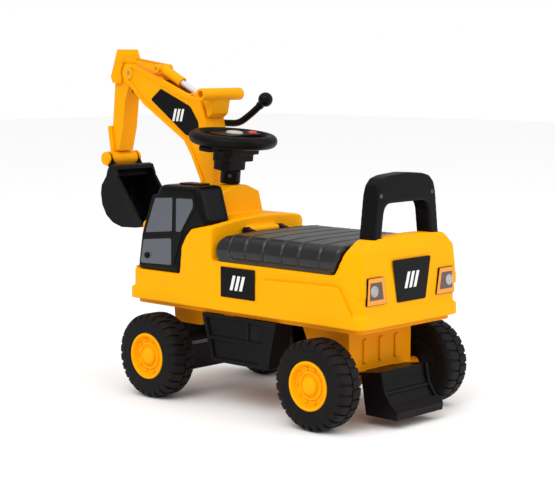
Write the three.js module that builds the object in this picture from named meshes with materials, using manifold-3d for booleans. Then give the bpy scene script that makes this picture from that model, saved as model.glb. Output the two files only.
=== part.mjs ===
// Toddler's foot-to-floor ride-on digger: body with storage seat, cab, steered front wheels and a digging
// arm.
// Millimetres, +Z up, forward is -Y, the vehicle's left is +X.
import * as THREE from "three";
import { mergeVertices } from "three/addons/utils/BufferGeometryUtils.js";
import Module from "manifold-3d";

const wasm = await Module();
wasm.setup();

// Driving dimensions. Y is measured from the middle of the body flange until the last line shifts the whole
// part.
const WHEEL = { radius: 62, width: 46, rimRadius: 34, outerFace: 139.6, bore: 4.5 };
const AXLE = { radius: 4, frontY: -155.4, rearY: 161.5 };
const FLANGE = { halfWidth: 107.4, halfLength: 228.3, bottom: 138.7, top: 156.3, corner: 14 };
const BODY = { halfWidth: 103, front: -225, rear: 225.5, deck: 183, wall: 4, seatDeck: 208 };
const HOUSE = { front: -216, rear: -56 };
const CAB = { inner: 50.4, outer: 103.2 };
const SEAT = {
  hingeY: -50, hingeZ: 246, knuckle: 5.6, knuckleIn: 30.3, knuckleOut: 40, rear: 186, top: 248.4,
};
const BLOCK = { halfWidth: 67, frontLow: 104 };
const KINGPIN = { x: 80, radius: 3, boss: 8, arm: 30 };
const STEER = { y: -112, z: 376, tilt: THREE.MathUtils.degToRad(6), ring: 56.5, tube: 9.5, crank: 16 };
const ARM = {
  x: -40, half: 20, plate: 3, footY: -189, footZ: 288, pinY: -367, pinZ: 471,
  leverY: -214, leverZ: 396, crank: [-5, -13],
};
const RAM = { frontY: -306.7, frontZ: 478.5, rearY: -222, rearZ: 437, barrel: 8.5, rod: 4.6 };
const BUCKET = { pinY: -408.5, pinZ: 333.3, half: 42 };
const FRONT_REACH = -420.1;
const REAR_REACH = 244;

// Finish of each material: colour, roughness and metalness.
const FINISH = {
  yellow: ["#f7b500", 0.42, 0],
  yellowDeep: ["#eda400", 0.45, 0],
  black: ["#1d1c1e", 0.55, 0],
  tyre: ["#2a2829", 0.7, 0],
  glazing: ["#4c515c", 0.35, 0],
  steel: ["#b9bcc0", 0.35, 0.9],
  pale: ["#d8d3cd", 0.4, 0],
  red: ["#d2433c", 0.4, 0],
  orange: ["#f08a1c", 0.4, 0],
};

// ---- geometry helpers -------------------------------------------------------------------------

function solid(geometry) {
  const bare = geometry.index ? geometry.toNonIndexed() : geometry.clone();
  bare.deleteAttribute("normal");
  bare.deleteAttribute("uv");
  const merged = mergeVertices(bare, 1e-4);
  return new wasm.Manifold(
    new wasm.Mesh({
      numProp: 3,
      vertProperties: merged.attributes.position.array,
      triVerts: new Uint32Array(merged.index.array),
    }),
  );
}

function geometryOf(manifold) {
  const mesh = manifold.getMesh();
  return new THREE.BufferGeometry()
    .setAttribute("position", new THREE.BufferAttribute(mesh.vertProperties, 3))
    .setIndex(new THREE.BufferAttribute(mesh.triVerts, 1));
}

const join = (...solids) => solids.reduce((a, b) => a.add(b));
const cut = (from, ...tools) => tools.reduce((a, b) => a.subtract(b), from);

function box(x0, x1, y0, y1, z0, z1) {
  const g = new THREE.BoxGeometry(x1 - x0, y1 - y0, z1 - z0);
  return solid(g.translate((x0 + x1) / 2, (y0 + y1) / 2, (z0 + z1) / 2));
}

// Turns a shape extruded along local Z into a prism along a part axis.
// Along x the outline is (y, z), along y it is (x, z), along z it is (x, y).
function prism(outline, axis, low, high) {
  const g = new THREE.ExtrudeGeometry(
    outline, { depth: high - low, bevelEnabled: false, curveSegments: 3 },
  );
  const turn = new THREE.Matrix4();
  const [X, Y, Z] = [new THREE.Vector3(1, 0, 0), new THREE.Vector3(0, 1, 0), new THREE.Vector3(0, 0, 1)];
  if (axis === "x") turn.makeBasis(Y, Z, X).setPosition(low, 0, 0);
  else if (axis === "y") turn.makeBasis(X, Z, Y.clone().negate()).setPosition(0, high, 0);
  else turn.setPosition(0, 0, low);
  return solid(g.applyMatrix4(turn));
}

// A closed outline through corner points; each point is [a, b] or [a, b, radius of its rounded corner].
function outline(points) {
  const shape = new THREE.Shape();
  const count = points.length;
  points.forEach((point, i) => {
    const corner = new THREE.Vector2(point[0], point[1]);
    const before = points[(i + count - 1) % count];
    const after = points[(i + 1) % count];
    const inward = new THREE.Vector2(before[0], before[1]).sub(corner);
    const onward = new THREE.Vector2(after[0], after[1]).sub(corner);
    const angle = Math.acos(inward.dot(onward) / inward.length() / onward.length());
    const reach = point[2] ? point[2] / Math.tan(angle / 2) : 0;
    const start = corner.clone().add(inward.setLength(reach || 1e-9));
    const end = corner.clone().add(onward.setLength(reach || 1e-9));
    if (i === 0) shape.moveTo(start.x, start.y);
    else shape.lineTo(start.x, start.y);
    if (reach) shape.quadraticCurveTo(corner.x, corner.y, end.x, end.y);
  });
  shape.closePath();
  return shape;
}

// The same corner points moved inwards by a distance on every edge (outwards where it is negative).
function inset(points, distance) {
  const turning = points.reduce((sum, [a, b], i) => {
    const [c, d] = points[(i + 1) % points.length];
    return sum + a * d - b * c;
  }, 0);
  const moved = distance * Math.sign(turning);
  return points.map(([a, b, radius = 0], i) => {
    const before = points[(i + points.length - 1) % points.length];
    const after = points[(i + 1) % points.length];
    const into = new THREE.Vector2(a - before[0], b - before[1]).normalize();
    const out = new THREE.Vector2(after[0] - a, after[1] - b).normalize();
    const across = new THREE.Vector2(-into.y - out.y, into.x + out.x).divideScalar(1 + into.dot(out));
    return [a + across.x * moved, b + across.y * moved, radius ? Math.max(radius - distance, 0.5) : 0];
  });
}

function rectangle(a0, a1, b0, b1, radius = 0) {
  return outline([[a0, b0, radius], [a1, b0, radius], [a1, b1, radius], [a0, b1, radius]]);
}

function disc(centreA, centreB, radius, sides = 20) {
  const points = [];
  for (let i = 0; i < sides; i++) {
    const t = (i / sides) * 2 * Math.PI;
    points.push([centreA + radius * Math.cos(t), centreB + radius * Math.sin(t)]);
  }
  return outline(points);
}

function rod(radius, from, to, sides = 12) {
  const a = new THREE.Vector3(...from);
  const b = new THREE.Vector3(...to);
  const g = new THREE.CylinderGeometry(radius, radius, a.distanceTo(b), sides);
  const turn = new THREE.Quaternion().setFromUnitVectors(
    new THREE.Vector3(0, 1, 0), b.clone().sub(a).normalize(),
  );
  return solid(g.applyQuaternion(turn).translate(...a.add(b).multiplyScalar(0.5).toArray()));
}

// Revolves (radius, along) points about a line parallel to X through (y, z).
function turnedAlongX(points, y, z, sides) {
  const g = new THREE.LatheGeometry(points.map(([r, x]) => new THREE.Vector2(r, x)), sides);
  return solid(g.rotateZ(-Math.PI / 2).translate(0, y, z));
}

function bentRod(points, radius, sides, steps) {
  const curve = new THREE.CatmullRomCurve3(
    points.map((p) => new THREE.Vector3(...p)), false, "centripetal",
  );
  return solid(
    new THREE.ExtrudeGeometry(disc(0, 0, radius, sides), { steps, extrudePath: curve, bevelEnabled: false })
  );
}

const mirrored = (s) => s.mirror([1, 0, 0]);

const part = new THREE.Group();

function piece(name, made, finish, parent = part) {
  const [color, roughness, metalness] = FINISH[finish];
  const geometry = made.isBufferGeometry ? made : geometryOf(made);
  const mesh = new THREE.Mesh(geometry, new THREE.MeshStandardMaterial({ color, roughness, metalness }));
  mesh.name = name;
  parent.add(mesh);
  return mesh;
}

// A point on the steering column's axis, some distance down from the wheel's centre.
const downColumn = (distance) => [
  0, STEER.y - distance * Math.sin(STEER.tilt), STEER.z - distance * Math.cos(STEER.tilt),
];

// ---- body ---------------------------------------------------------------------------------------

// Side outline (y, z) of the cab; the house is cut back from it by a small gap.
const CAB_SIDE = [
  [-215, 183.4], [-121.8, 183.4, 3], [-117.4, 223.4], [-108.6, 238.4], [-97, 250.6, 8], [-66, 257.8, 2],
  [-82.8, 311.5, 5], [-163, 311, 7], [-192, 254],
];

// Push handle seen from behind (x, z): an upright arch whose legs run down into the body.
const HANDLE_BACK = [
  [-74.5, 226], [-60.5, 338, 30], [0, 342, 90], [60.5, 338, 30], [74.5, 226], [56.5, 226], [46, 302, 15],
  [-46, 302, 15], [-56.5, 226],
];

function bodyShell() {
  const { halfWidth, front, rear, deck, wall, seatDeck } = BODY;
  const flange = prism(
    rectangle(-FLANGE.halfWidth, FLANGE.halfWidth, -FLANGE.halfLength, FLANGE.halfLength, FLANGE.corner),
    "z", FLANGE.bottom, FLANGE.top,
  );
  const base = prism(rectangle(-halfWidth, halfWidth, front, rear, 14), "z", FLANGE.top - 1, deck);
  const seatBase = prism(
    rectangle(-halfWidth + 0.6, halfWidth - 0.6, -90, 200, 4), "z", deck - 1, seatDeck,
  );
  const houseAcross = outline([
    [-102, deck - 1], [-101, 235], [-98, 262, 24], [-40, 265.5], [0, 266], [50, 263], [103, 256, 9],
    [103, deck - 1],
  ]);
  const houseAlong = outline([
    [HOUSE.front, deck - 1], [HOUSE.front + 1, 240], [HOUSE.front + 5, 266, 14], [HOUSE.rear, 268],
    [HOUSE.rear, deck - 1],
  ]);
  const house = prism(houseAcross, "y", -220, -54)
    .intersect(prism(houseAlong, "x", -110, 110))
    .intersect(
      prism(outline([[-103, -222, 18], [103.5, -222, 10], [103.5, -56, 6], [-103, -56, 20]]), "z", 150, 280)
    );
  const tower = prism(
    outline(
      [[-51, 250], [-49, 268], [-41, 297, 4], [-15, 307.6], [15, 307.6], [41, 297, 4], [49, 268], [50, 250]]
    ),
    "y", -152, -98,
  );
  const humpAcross = outline([
    [-103, deck - 1], [-101.5, 206], [-97, 238, 20], [-78, 256, 14], [0, 260], [78, 256, 14], [97, 238, 20],
    [101.5, 206], [103, deck - 1],
  ]);
  const humpAlong = outline([
    [174, deck - 1], [175.6, 208], [188, 236, 12], [196, 257.5, 8], [219, 262, 8], [223.5, 240],
    [rear, deck - 1],
  ]);
  const hump = prism(humpAcross, "y", 170, 230).intersect(prism(humpAlong, "x", -110, 110));
  const barrelStub = join(
    rod(SEAT.knuckle, [-29.7, SEAT.hingeY, SEAT.hingeZ], [29.7, SEAT.hingeY, SEAT.hingeZ]),
    box(-29.7, 29.7, HOUSE.rear - 4, SEAT.hingeY, SEAT.hingeZ - 4, SEAT.hingeZ + 4),
  );
  const outer = join(flange, base, seatBase, house, tower, hump, barrelStub);
  const hollow = join(
    box(-halfWidth + wall, halfWidth - wall, front + wall, rear - wall, 130, deck - wall),
    box(-halfWidth + wall, halfWidth - wall, -86, 196, deck - 8, seatDeck - wall),
    box(-94, 46, -206, HOUSE.rear - wall, deck - 8, 256),
    box(46, halfWidth - wall, -106, HOUSE.rear - wall, deck - 8, 246),
    box(-40, 40, -148, -102, 240, 293),
    box(-74, 74, 191, 220, deck - 8, 251),
  );
  const storageMouth = box(-80, 80, -36, 166, 130, 220);
  const cabSpace = join(
    prism(outline(inset(CAB_SIDE, -0.4)), "x", CAB.inner - 0.4, 120),
    box(CAB.inner - 0.4, 120, -240, -200, 188.5, 300),
  );
  const shaftHole = rod(6.5, downColumn(60), downColumn(90));
  const pinHole = rod(2.2, [-35, SEAT.hingeY, SEAT.hingeZ], [35, SEAT.hingeY, SEAT.hingeZ], 10);
  const turntableHole = rod(9.6, [ARM.x, ARM.footY, 240], [ARM.x, ARM.footY, 280], 20);
  const sockets = prism(outline(inset(HANDLE_BACK, -0.4)), "y", 191.2, 217.9);
  return cut(outer, hollow, storageMouth, cabSpace, shaftHole, pinHole, turntableHole, sockets);
}

function storageTub() {
  const outside = prism(rectangle(-79, 79, -35, 165, 10), "z", 138.6, 207.4);
  const inside = prism(rectangle(-76.4, 76.4, -32.4, 162.4, 8), "z", 141.2, 215);
  return outside.subtract(inside);
}

function cabShell() {
  const outside = prism(outline(CAB_SIDE), "x", CAB.inner, CAB.outer);
  const inside = prism(
    outline(
      [[-208, 170], [-125, 170], [-121, 220], [-100, 250], [-72, 260], [-86, 306], [-160, 305], [-190, 248]]
    ),
    "x", CAB.inner + 3, CAB.outer - 3,
  );
  return outside.subtract(inside);
}

function chassisFrame() {
  const plate = prism(rectangle(-98, 98, -219, 219, 10), "z", 132, 138.2);
  const frontBlock = prism(
    outline([[-169, BLOCK.frontLow], [-114, BLOCK.frontLow], [-108, 134], [-172, 134]]),
    "x", -BLOCK.halfWidth, BLOCK.halfWidth,
  );
  const rearBlock = prism(
    outline([[84, 134], [100, 100], [126, 78], [142, 50, 6], [173, 50, 6], [173, 134]]),
    "x", -BLOCK.halfWidth, BLOCK.halfWidth,
  );
  const rearCells = [-41, 0, 41].map((x) => box(x - 18.5, x + 18.5, 108, 167, 84, 145));
  const fins = [-34, 0, 34].map((x) => prism(rectangle(x - 4.5, x + 4.5, 80, 114, 4), "y", 170, 176));
  const boss = rod(10, [-90, AXLE.rearY, WHEEL.radius], [90, AXLE.rearY, WHEEL.radius], 20);
  const axleHole = rod(
    AXLE.radius + 0.5, [-100, AXLE.rearY, WHEEL.radius], [100, AXLE.rearY, WHEEL.radius],
  );
  const shaftWay = box(-12, 12, -158, -116, 90, 145);
  return cut(join(plate, frontBlock, rearBlock, boss, ...fins), ...rearCells, shaftWay, axleHole);
}

function sideBox() {
  const outside = prism(
    outline([[-72.6, 131.6], [-53.4, 64, 3], [58, 64, 3], [73.2, 131.6]]), "x", 68.5, 105,
  );
  const upper = prism(outline([[-64, 127, 2], [-56.5, 101, 2], [49, 101, 2], [54, 127, 2]]), "x", 102, 110);
  const lower = prism(outline([[-54.5, 96, 2], [-48, 70, 2], [38, 70, 2], [46, 96, 2]]), "x", 102, 110);
  const inside = prism(outline([[-66, 140], [-50, 68], [54, 68], [68, 140]]), "x", 60, 99);
  const ribs = [-14, 22].map((y) => box(60, 99, y - 1.5, y + 1.5, 60, 140));
  const divider = box(100, 104.4, 17, 20, 100, 128);
  return join(cut(outside, upper, lower, cut(inside, ...ribs)), divider);
}

function rearBlade() {
  const half = 50.4;
  const plate = outline([
    [209, 73], [212.5, 74.8], [215, 60], [219, 46], [229, 32], [244, 21.5], [243, 13], [238, 13.4],
    [225, 28],
    [214.5, 42], [211, 56],
  ]);
  const cheek = outline(
    [[180, 70], [212, 74.8], [215, 60], [219, 46], [229, 32], [243.5, 21], [243, 13], [190, 13.4]]
  );
  const roof = outline([[177, 66], [177, 70.5], [212, 74.8], [212, 70]]);
  return join(
    prism(plate, "x", -half, half),
    prism(cheek, "x", half - 3.5, half),
    prism(cheek, "x", -half, -half + 3.5),
    prism(roof, "x", -half, half),
    box(-30, 30, 173.4, 180, 55, 70.5),
  );
}

function frontBeam() {
  const beam = box(-66, 66, -166, -145, 32, 103.6);
  const ears = [1, -1].flatMap((side) =>
    [[86, 92], [32, 38]].map(([low, high]) =>
      prism(
        rectangle(Math.min(60 * side, 90 * side), Math.max(60 * side, 90 * side), -165.4, -145.4, 6), "z",
        low, high,
      ),
    ),
  );
  const holes = [1, -1].map(
    (side) => rod(3.4, [side * KINGPIN.x, AXLE.frontY, 20], [side * KINGPIN.x, AXLE.frontY, 110])
  );
  return cut(join(beam, ...ears), box(-12, 12, -160, -140, 80, 110), ...holes);
}

piece("body_shell", bodyShell(), "yellow");
piece("storage_tub", storageTub(), "black");
piece("chassis_frame", chassisFrame(), "yellowDeep");
piece("cab_shell", cabShell(), "black");
piece(
  "cab_side_window",
  prism(
    outline(
      [
        [-206, 191], [-136, 194, 2], [-116, 246, 3], [-90, 280, 3], [-91, 295, 3], [-171.5, 293, 3],
        [-198, 236],
      ]
    ),
    "x", CAB.outer + 0.3, CAB.outer + 1.3,
  ),
  "glazing",
);
piece("cab_roof_vent", prism(rectangle(60, 84, -142, -98, 5), "z", 311.8, 313.8), "black");
piece(
  "push_handle",
  prism(outline(HANDLE_BACK), "y", 191.6, 217.5),
  "black",
);
for (const [name, x] of [["handle_screw_left", 55], ["handle_screw_right", -55]]) {
  piece(name, rod(3.4, [x, 217.8, 313], [x, 219.4, 313], 12), "steel");
}
piece("left_side_box", sideBox(), "black");
piece("right_side_box", mirrored(sideBox()), "black");
piece("rear_blade", rearBlade(), "black");
piece("front_axle_beam", frontBeam(), "black");
piece(
  "rear_axle", rod(AXLE.radius, [-130, AXLE.rearY, WHEEL.radius], [130, AXLE.rearY, WHEEL.radius]), "steel",
);
for (const [name, side] of [["kingpin_left", 1], ["kingpin_right", -1]]) {
  piece(
    name, rod(KINGPIN.radius, [side * KINGPIN.x, AXLE.frontY, 29], [side * KINGPIN.x, AXLE.frontY, 96], 12),
    "steel",
  );
}
const sideBadge = prism(rectangle(-35, 32, 159, 202, 1), "x", BODY.halfWidth + 0.3, BODY.halfWidth + 1.2);
piece("side_badge_left", sideBadge, "black");
piece("side_badge_right", mirrored(sideBadge), "black");
piece(
  "rear_badge",
  prism(outline([[-41, 227, 3], [-30.5, 169, 3], [30.5, 169, 3], [41, 227, 3]]), "y", 226, 227).intersect(
    box(-60, 60, 220, 230, 160, 240),
  ),
  "black",
);
for (const [name, side] of [["rear_lamp_left", 1], ["rear_lamp_right", -1]]) {
  const lamp = prism(outline([[62, 207], [92, 207], [94, 171], [55, 171]]), "y", 226, 228);
  piece(name, side > 0 ? lamp : mirrored(lamp), "orange");
}

// ---- seat ---------------------------------------------------------------------------------------

function seatLid() {
  const across = outline([
    [-102, 208.6], [-102.4, 226], [-96, 246, 20], [-50, SEAT.top], [50, SEAT.top], [96, 246, 20],
    [102.4, 226],
    [102, 208.6],
  ]);
  const along = outline([
    [-49, 208.6, 5], [-51.5, 222, 8], [-42, 245, 12], [-20, 249.5], [184, 251], [SEAT.rear, 244],
    [183, 230], [172, 208.6],
  ]);
  const skin = prism(across, "y", -60, 200).intersect(prism(along, "x", -110, 110));
  const inside = box(-98, 98, -44, 169, 200, 226);
  const insideHigh = box(-88, 88, -36, 176, 220, 240);
  const clear = box(-29.9 - 11, 29.9 + 11, -60, SEAT.hingeY + 6.4, 236, 260);
  const knuckle = (side) =>
    join(
      rod(
        SEAT.knuckle, [side * SEAT.knuckleIn, SEAT.hingeY, SEAT.hingeZ],
        [side * SEAT.knuckleOut, SEAT.hingeY, SEAT.hingeZ],
      ),
      box(
        Math.min(side * SEAT.knuckleIn, side * SEAT.knuckleOut), Math.max(
          side * SEAT.knuckleIn, side * SEAT.knuckleOut,
        ),
        SEAT.hingeY, SEAT.hingeY + 12, SEAT.hingeZ - 5.4, SEAT.hingeZ + 1,
      ),
    );
  const pinHole = rod(2.3, [-60, SEAT.hingeY, SEAT.hingeZ], [60, SEAT.hingeY, SEAT.hingeZ], 10);
  return cut(join(cut(skin, inside, insideHigh, clear), knuckle(1), knuckle(-1)), pinHole);
}

piece("seat_lid", seatLid(), "black");
piece(
  "seat_hinge_pin", rod(1.8, [-39, SEAT.hingeY, SEAT.hingeZ], [39, SEAT.hingeY, SEAT.hingeZ], 10), "steel",
);

// ---- wheels -------------------------------------------------------------------------------------

// Profiles run from the wheel's outer face inwards; along is measured from the middle of the vehicle.
function tyre() {
  const { radius, width, rimRadius, outerFace } = WHEEL;
  const inner = outerFace - width;
  const bore = rimRadius + 0.4;
  return [
    [bore, outerFace - 1], [radius - 12, outerFace], [radius - 3, outerFace - 4], [radius, outerFace - 11],
    [radius, inner + 11], [radius - 3, inner + 4], [radius - 12, inner], [bore, inner + 1],
    [bore, outerFace - 1],
  ].reverse();
}

function rim() {
  const { width, rimRadius, outerFace, bore } = WHEEL;
  const inner = outerFace - width;
  return [
    [0, outerFace - 7.5], [bore, outerFace - 7.5], [bore, inner - 2], [11, inner - 2], [11, outerFace - 16],
    [rimRadius - 4, outerFace - 12], [rimRadius - 4, inner + 4], [rimRadius, inner + 4],
    [rimRadius, outerFace - 1.6],
    [rimRadius - 7, outerFace - 8], [12, outerFace - 8], [9, outerFace - 2.4], [0, outerFace - 1.4],
  ];
}

const WHEELS = [
  ["front_left", 1, AXLE.frontY], ["front_right", -1, AXLE.frontY],
  ["rear_left", 1, AXLE.rearY], ["rear_right", -1, AXLE.rearY],
];
for (const [name, side, y] of WHEELS) {
  const place = (s) => (side > 0 ? s : mirrored(s));
  piece("tyre_" + name, place(turnedAlongX(tyre(), y, WHEEL.radius, 28)), "tyre");
  piece("rim_" + name, place(turnedAlongX(rim(), y, WHEEL.radius, 18)), "yellow");
}

// ---- steering linkage ---------------------------------------------------------------------------

function knuckle() {
  const { x, boss, arm } = KINGPIN;
  const y = AXLE.frontY;
  const body = rod(boss, [x, y, 38.4], [x, y, 85.6], 18);
  const stub = rod(AXLE.radius, [x, y, WHEEL.radius], [130, y, WHEEL.radius]);
  const lever = prism(
    outline([[x - 5, y, 2], [x + 5, y, 2], [x + 5, y + arm + 6, 4], [x - 5, y + arm + 6, 4]]), "z", 69, 75,
  );
  const pinHole = rod(3.4, [x, y, 30], [x, y, 95]);
  const pegHole = rod(3.2, [x, y + arm, 60], [x, y + arm, 80]);
  return cut(join(body, stub, lever), pinHole, pegHole);
}

function tieRod() {
  const y = AXLE.frontY + KINGPIN.arm;
  const bar = prism(rectangle(-KINGPIN.x - 6, KINGPIN.x + 6, y - 4.5, y + 4.5, 4), "z", 75.6, 81);
  const eye = prism(rectangle(-14, 14, y - 12, y + 12, 4), "z", 75.6, 81);
  const slot = box(-3.4, 3.4, y - 8, y + 8, 70, 90);
  const pegs = [1, -1].map((side) => rod(2.6, [side * KINGPIN.x, y, 68], [side * KINGPIN.x, y, 77], 12));
  return join(bar, eye, ...pegs).subtract(slot);
}

piece("knuckle_left", knuckle(), "black");
piece("knuckle_right", mirrored(knuckle()), "black");
piece("tie_rod", tieRod(), "steel");

// ---- steering column, in its own leaning frame: origin at the wheel's centre, Z up the column -------

const column = new THREE.Group();
column.position.set(0, STEER.y, STEER.z);
column.rotation.x = -STEER.tilt;
part.add(column);

function steeringWheel() {
  const ring = solid(new THREE.TorusGeometry(STEER.ring, STEER.tube, 8, 28));
  const spoke = (x0, x1, y0, y1) => box(x0, x1, y0, y1, -6, 2);
  const hub = prism(disc(0, 0, 24), "z", -8, 3);
  return join(ring, hub, spoke(-56, -10, -11, 11), spoke(10, 56, -11, 11), spoke(-9, 9, 10, 56));
}

function hornPanel() {
  const plate = prism(outline([[-40, -16, 10], [40, -16, 10], [40, 26, 16], [-40, 26, 16]]), "z", 3.3, 9);
  return cut(plate, prism(disc(0, 2, 13.4), "z", 5, 12), prism(disc(-27, 13, 7.4), "z", 5, 12));
}

function musicBox() {
  const upper = prism(rectangle(-38, 30, -14, 23, 8), "z", -22, -8.3);
  const middle = prism(rectangle(-31, 30, -14, 19, 8), "z", -33, -21);
  const lower = prism(rectangle(-20, 27, -14.5, 14.5, 9), "z", -46, -32);
  const spokeCover = prism(rectangle(10, 60, -14, 10, 8), "z", -17, -9.9);
  return cut(join(upper, middle, lower, spokeCover), prism(disc(0, 0, 11.6), "z", -50, 0));
}

piece("steering_wheel", steeringWheel(), "black", column);
piece("horn_panel", hornPanel(), "black", column);
piece("horn_button", prism(disc(0, 2, 12.8), "z", 8.3, 12), "pale", column);
piece("red_button", prism(disc(-27, 13, 6.8), "z", 8.3, 12.5), "red", column);
piece("music_box", musicBox(), "black", column);
piece(
  "column_sleeve",
  cut(
    join(rod(11.2, [0, 0, -8.4], [0, 0, -48], 24), rod(15, [0, 0, -46.4], [0, 0, -66.5], 24)),
    rod(4.6, [0, 0, 0], [0, 0, -80]),
  ),
  "black", column,
);
piece("column_screw", rod(2.6, [12, 9.6, -50], [13.6, 10.9, -50], 12), "steel", column);
const SHAFT_BOTTOM = -286;
piece(
  "steering_shaft",
  join(
    rod(4.1, [0, 0, -9.2], [0, 0, SHAFT_BOTTOM], 14),
    box(-5, 5, -4, STEER.crank + 4, SHAFT_BOTTOM - 1, SHAFT_BOTTOM + 4),
    rod(2.4, [0, STEER.crank, SHAFT_BOTTOM], [0, STEER.crank, SHAFT_BOTTOM - 19], 10),
  ),
  "steel", column,
);

// ---- digging arm, in a frame moved to the arm's own plane -------------------------------------------

const digger = new THREE.Group();
digger.position.x = ARM.x;
part.add(digger);

function turntable() {
  const { footY: y, footZ: z } = ARM;
  const plate = prism(disc(0, y, 26), "z", 267.6, 271.6);
  const spigot = rod(9, [0, y, 258], [0, y, 268.5], 20);
  const cheek = (x0, x1) => prism(
    outline([[y - 15, 271], [y - 12, z + 12, 9], [y + 12, z + 12, 9], [y + 15, 271]]), "x", x0, x1,
  );
  return cut(join(plate, spigot, cheek(20.6, 24), cheek(-24, -20.6)), rod(4.3, [-30, y, z], [30, y, z]));
}

// Side outline (y, z) of the boom, from its foot up the back, over the knee and out to the tip.
const BOOM_SIDE = [
  [-203, 308], [-203, 274, 11], [-175, 274, 11], [-175, 352], [-187, 386], [-194.5, 414, 9],
  [-206, 433, 12],
  [-243, 442], [-357, 486], [-373, 486.5, 10], [-382, 474, 8], [-377, 458, 8], [-362, 449], [-331, 422],
  [-293, 399.8], [-239, 368], [-224, 347],
];

function boomHalf(leverSide) {
  const { half, plate, footY, footZ, pinY, pinZ, leverY, leverZ } = ARM;
  const shell = prism(outline(BOOM_SIDE), "x", 0.15, half);
  const hollow = prism(outline(inset(BOOM_SIDE, 3.2)), "x", -1, half - plate);
  const recess = prism(outline(inset(BOOM_SIDE, 6.5)), "x", half - 1.8, half + 5);
  const mouth = box(-1, half - plate, -400, -352, 430, 500);
  const ramSlot = box(-1, 10.5, -300, -212, 428, 490);
  const boss = (y, z, r) => rod(r, [half - plate, y, z], [half, y, z], 14);
  const bosses = [boss(pinY, pinZ, 10.5), boss(footY, footZ, 10)];
  const bossed = join(
    cut(shell, hollow, recess), ...bosses, ...(leverSide ? [boss(leverY, leverZ, 8)] : []),
  );
  const hole = (y, z, r) => rod(r, [-2, y, z], [half + 4, y, z]);
  const ramBoss = rod(5, [11, RAM.rearY, RAM.rearZ], [half - plate + 0.5, RAM.rearY, RAM.rearZ]);
  const ramPinHole = rod(2.4, [0, RAM.rearY, RAM.rearZ], [half - plate + 0.9, RAM.rearY, RAM.rearZ]);
  const open = cut(
    bossed, mouth, ramSlot, hole(pinY, pinZ, 3.4), hole(footY, footZ, 4.4), hole(leverY, leverZ, 3.9),
  );
  return cut(join(open, ramBoss), ramPinHole);
}

function boomGrip() {
  const bar = rod(9.5, [-43, -179, 440], [43, -179, 440], 20);
  const neck = prism(
    outline([[-203, 436], [-193.4, 420], [-189, 404], [-180, 410, 3], [-174, 436]]), "x", -18, 18,
  );
  const blocked = prism(outline(inset(BOOM_SIDE, -0.3)), "x", -21, 21);
  return cut(join(bar, cut(neck, blocked)), rod(5.5, [22, -179, 440], [44, -179, 440], 14));
}

// The lever turns in the boom; its cranked end inside the boom moves the push link.
function lever() {
  const { leverY: y, leverZ: z, half, crank } = ARM;
  const x = -half - 6;
  const handle = bentRod(
    [[x, y, z], [x, y + 26, z - 1], [x, y + 50, z + 1], [x, y + 73, z + 13], [x, -119, 424]], 5.2, 8, 10,
  );
  const hubOutside = rod(8, [x - 4.5, y, z], [x + 5.6, y, z], 18);
  const shaft = rod(3.5, [x, y, z], [half - 2.2, y, z]);
  const arm = prism(
    outline([
      [y - 6, z + 6, 5], [y + 6, z + 6, 5], [y + crank[0] + 5.5, z + crank[1] - 5.5, 4],
      [y + crank[0] - 5.5, z + crank[1] - 5.5, 4],
    ]),
    "x", -4, 0,
  );
  const peg = rod(2.4, [-1, y + crank[0], z + crank[1]], [6.5, y + crank[0], z + crank[1]], 10);
  return join(handle, hubOutside, shaft, arm, peg);
}

function pushLink() {
  const { pinY, pinZ, leverY, leverZ, crank } = ARM;
  const rear = [leverY + crank[0], leverZ + crank[1]];
  const front = [pinY + crank[0], pinZ + crank[1]];
  const along = new THREE.Vector2(front[0] - rear[0], front[1] - rear[1]).normalize();
  const across = new THREE.Vector2(-along.y, along.x).multiplyScalar(2.8);
  const bar = prism(
    outline([
      [rear[0] + across.x, rear[1] + across.y], [rear[0] - across.x, rear[1] - across.y],
      [front[0] - across.x, front[1] - across.y], [front[0] + across.x, front[1] + across.y],
    ]),
    "x", 0.4, 4.4,
  );
  const eyes = [rear, front].map(([y, z]) => rod(5.6, [0.4, y, z], [4.4, y, z], 18));
  const holes = [rear, front].map(([y, z]) => rod(2.8, [-2, y, z], [8, y, z], 12));
  return cut(join(bar, ...eyes), ...holes);
}

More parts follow.
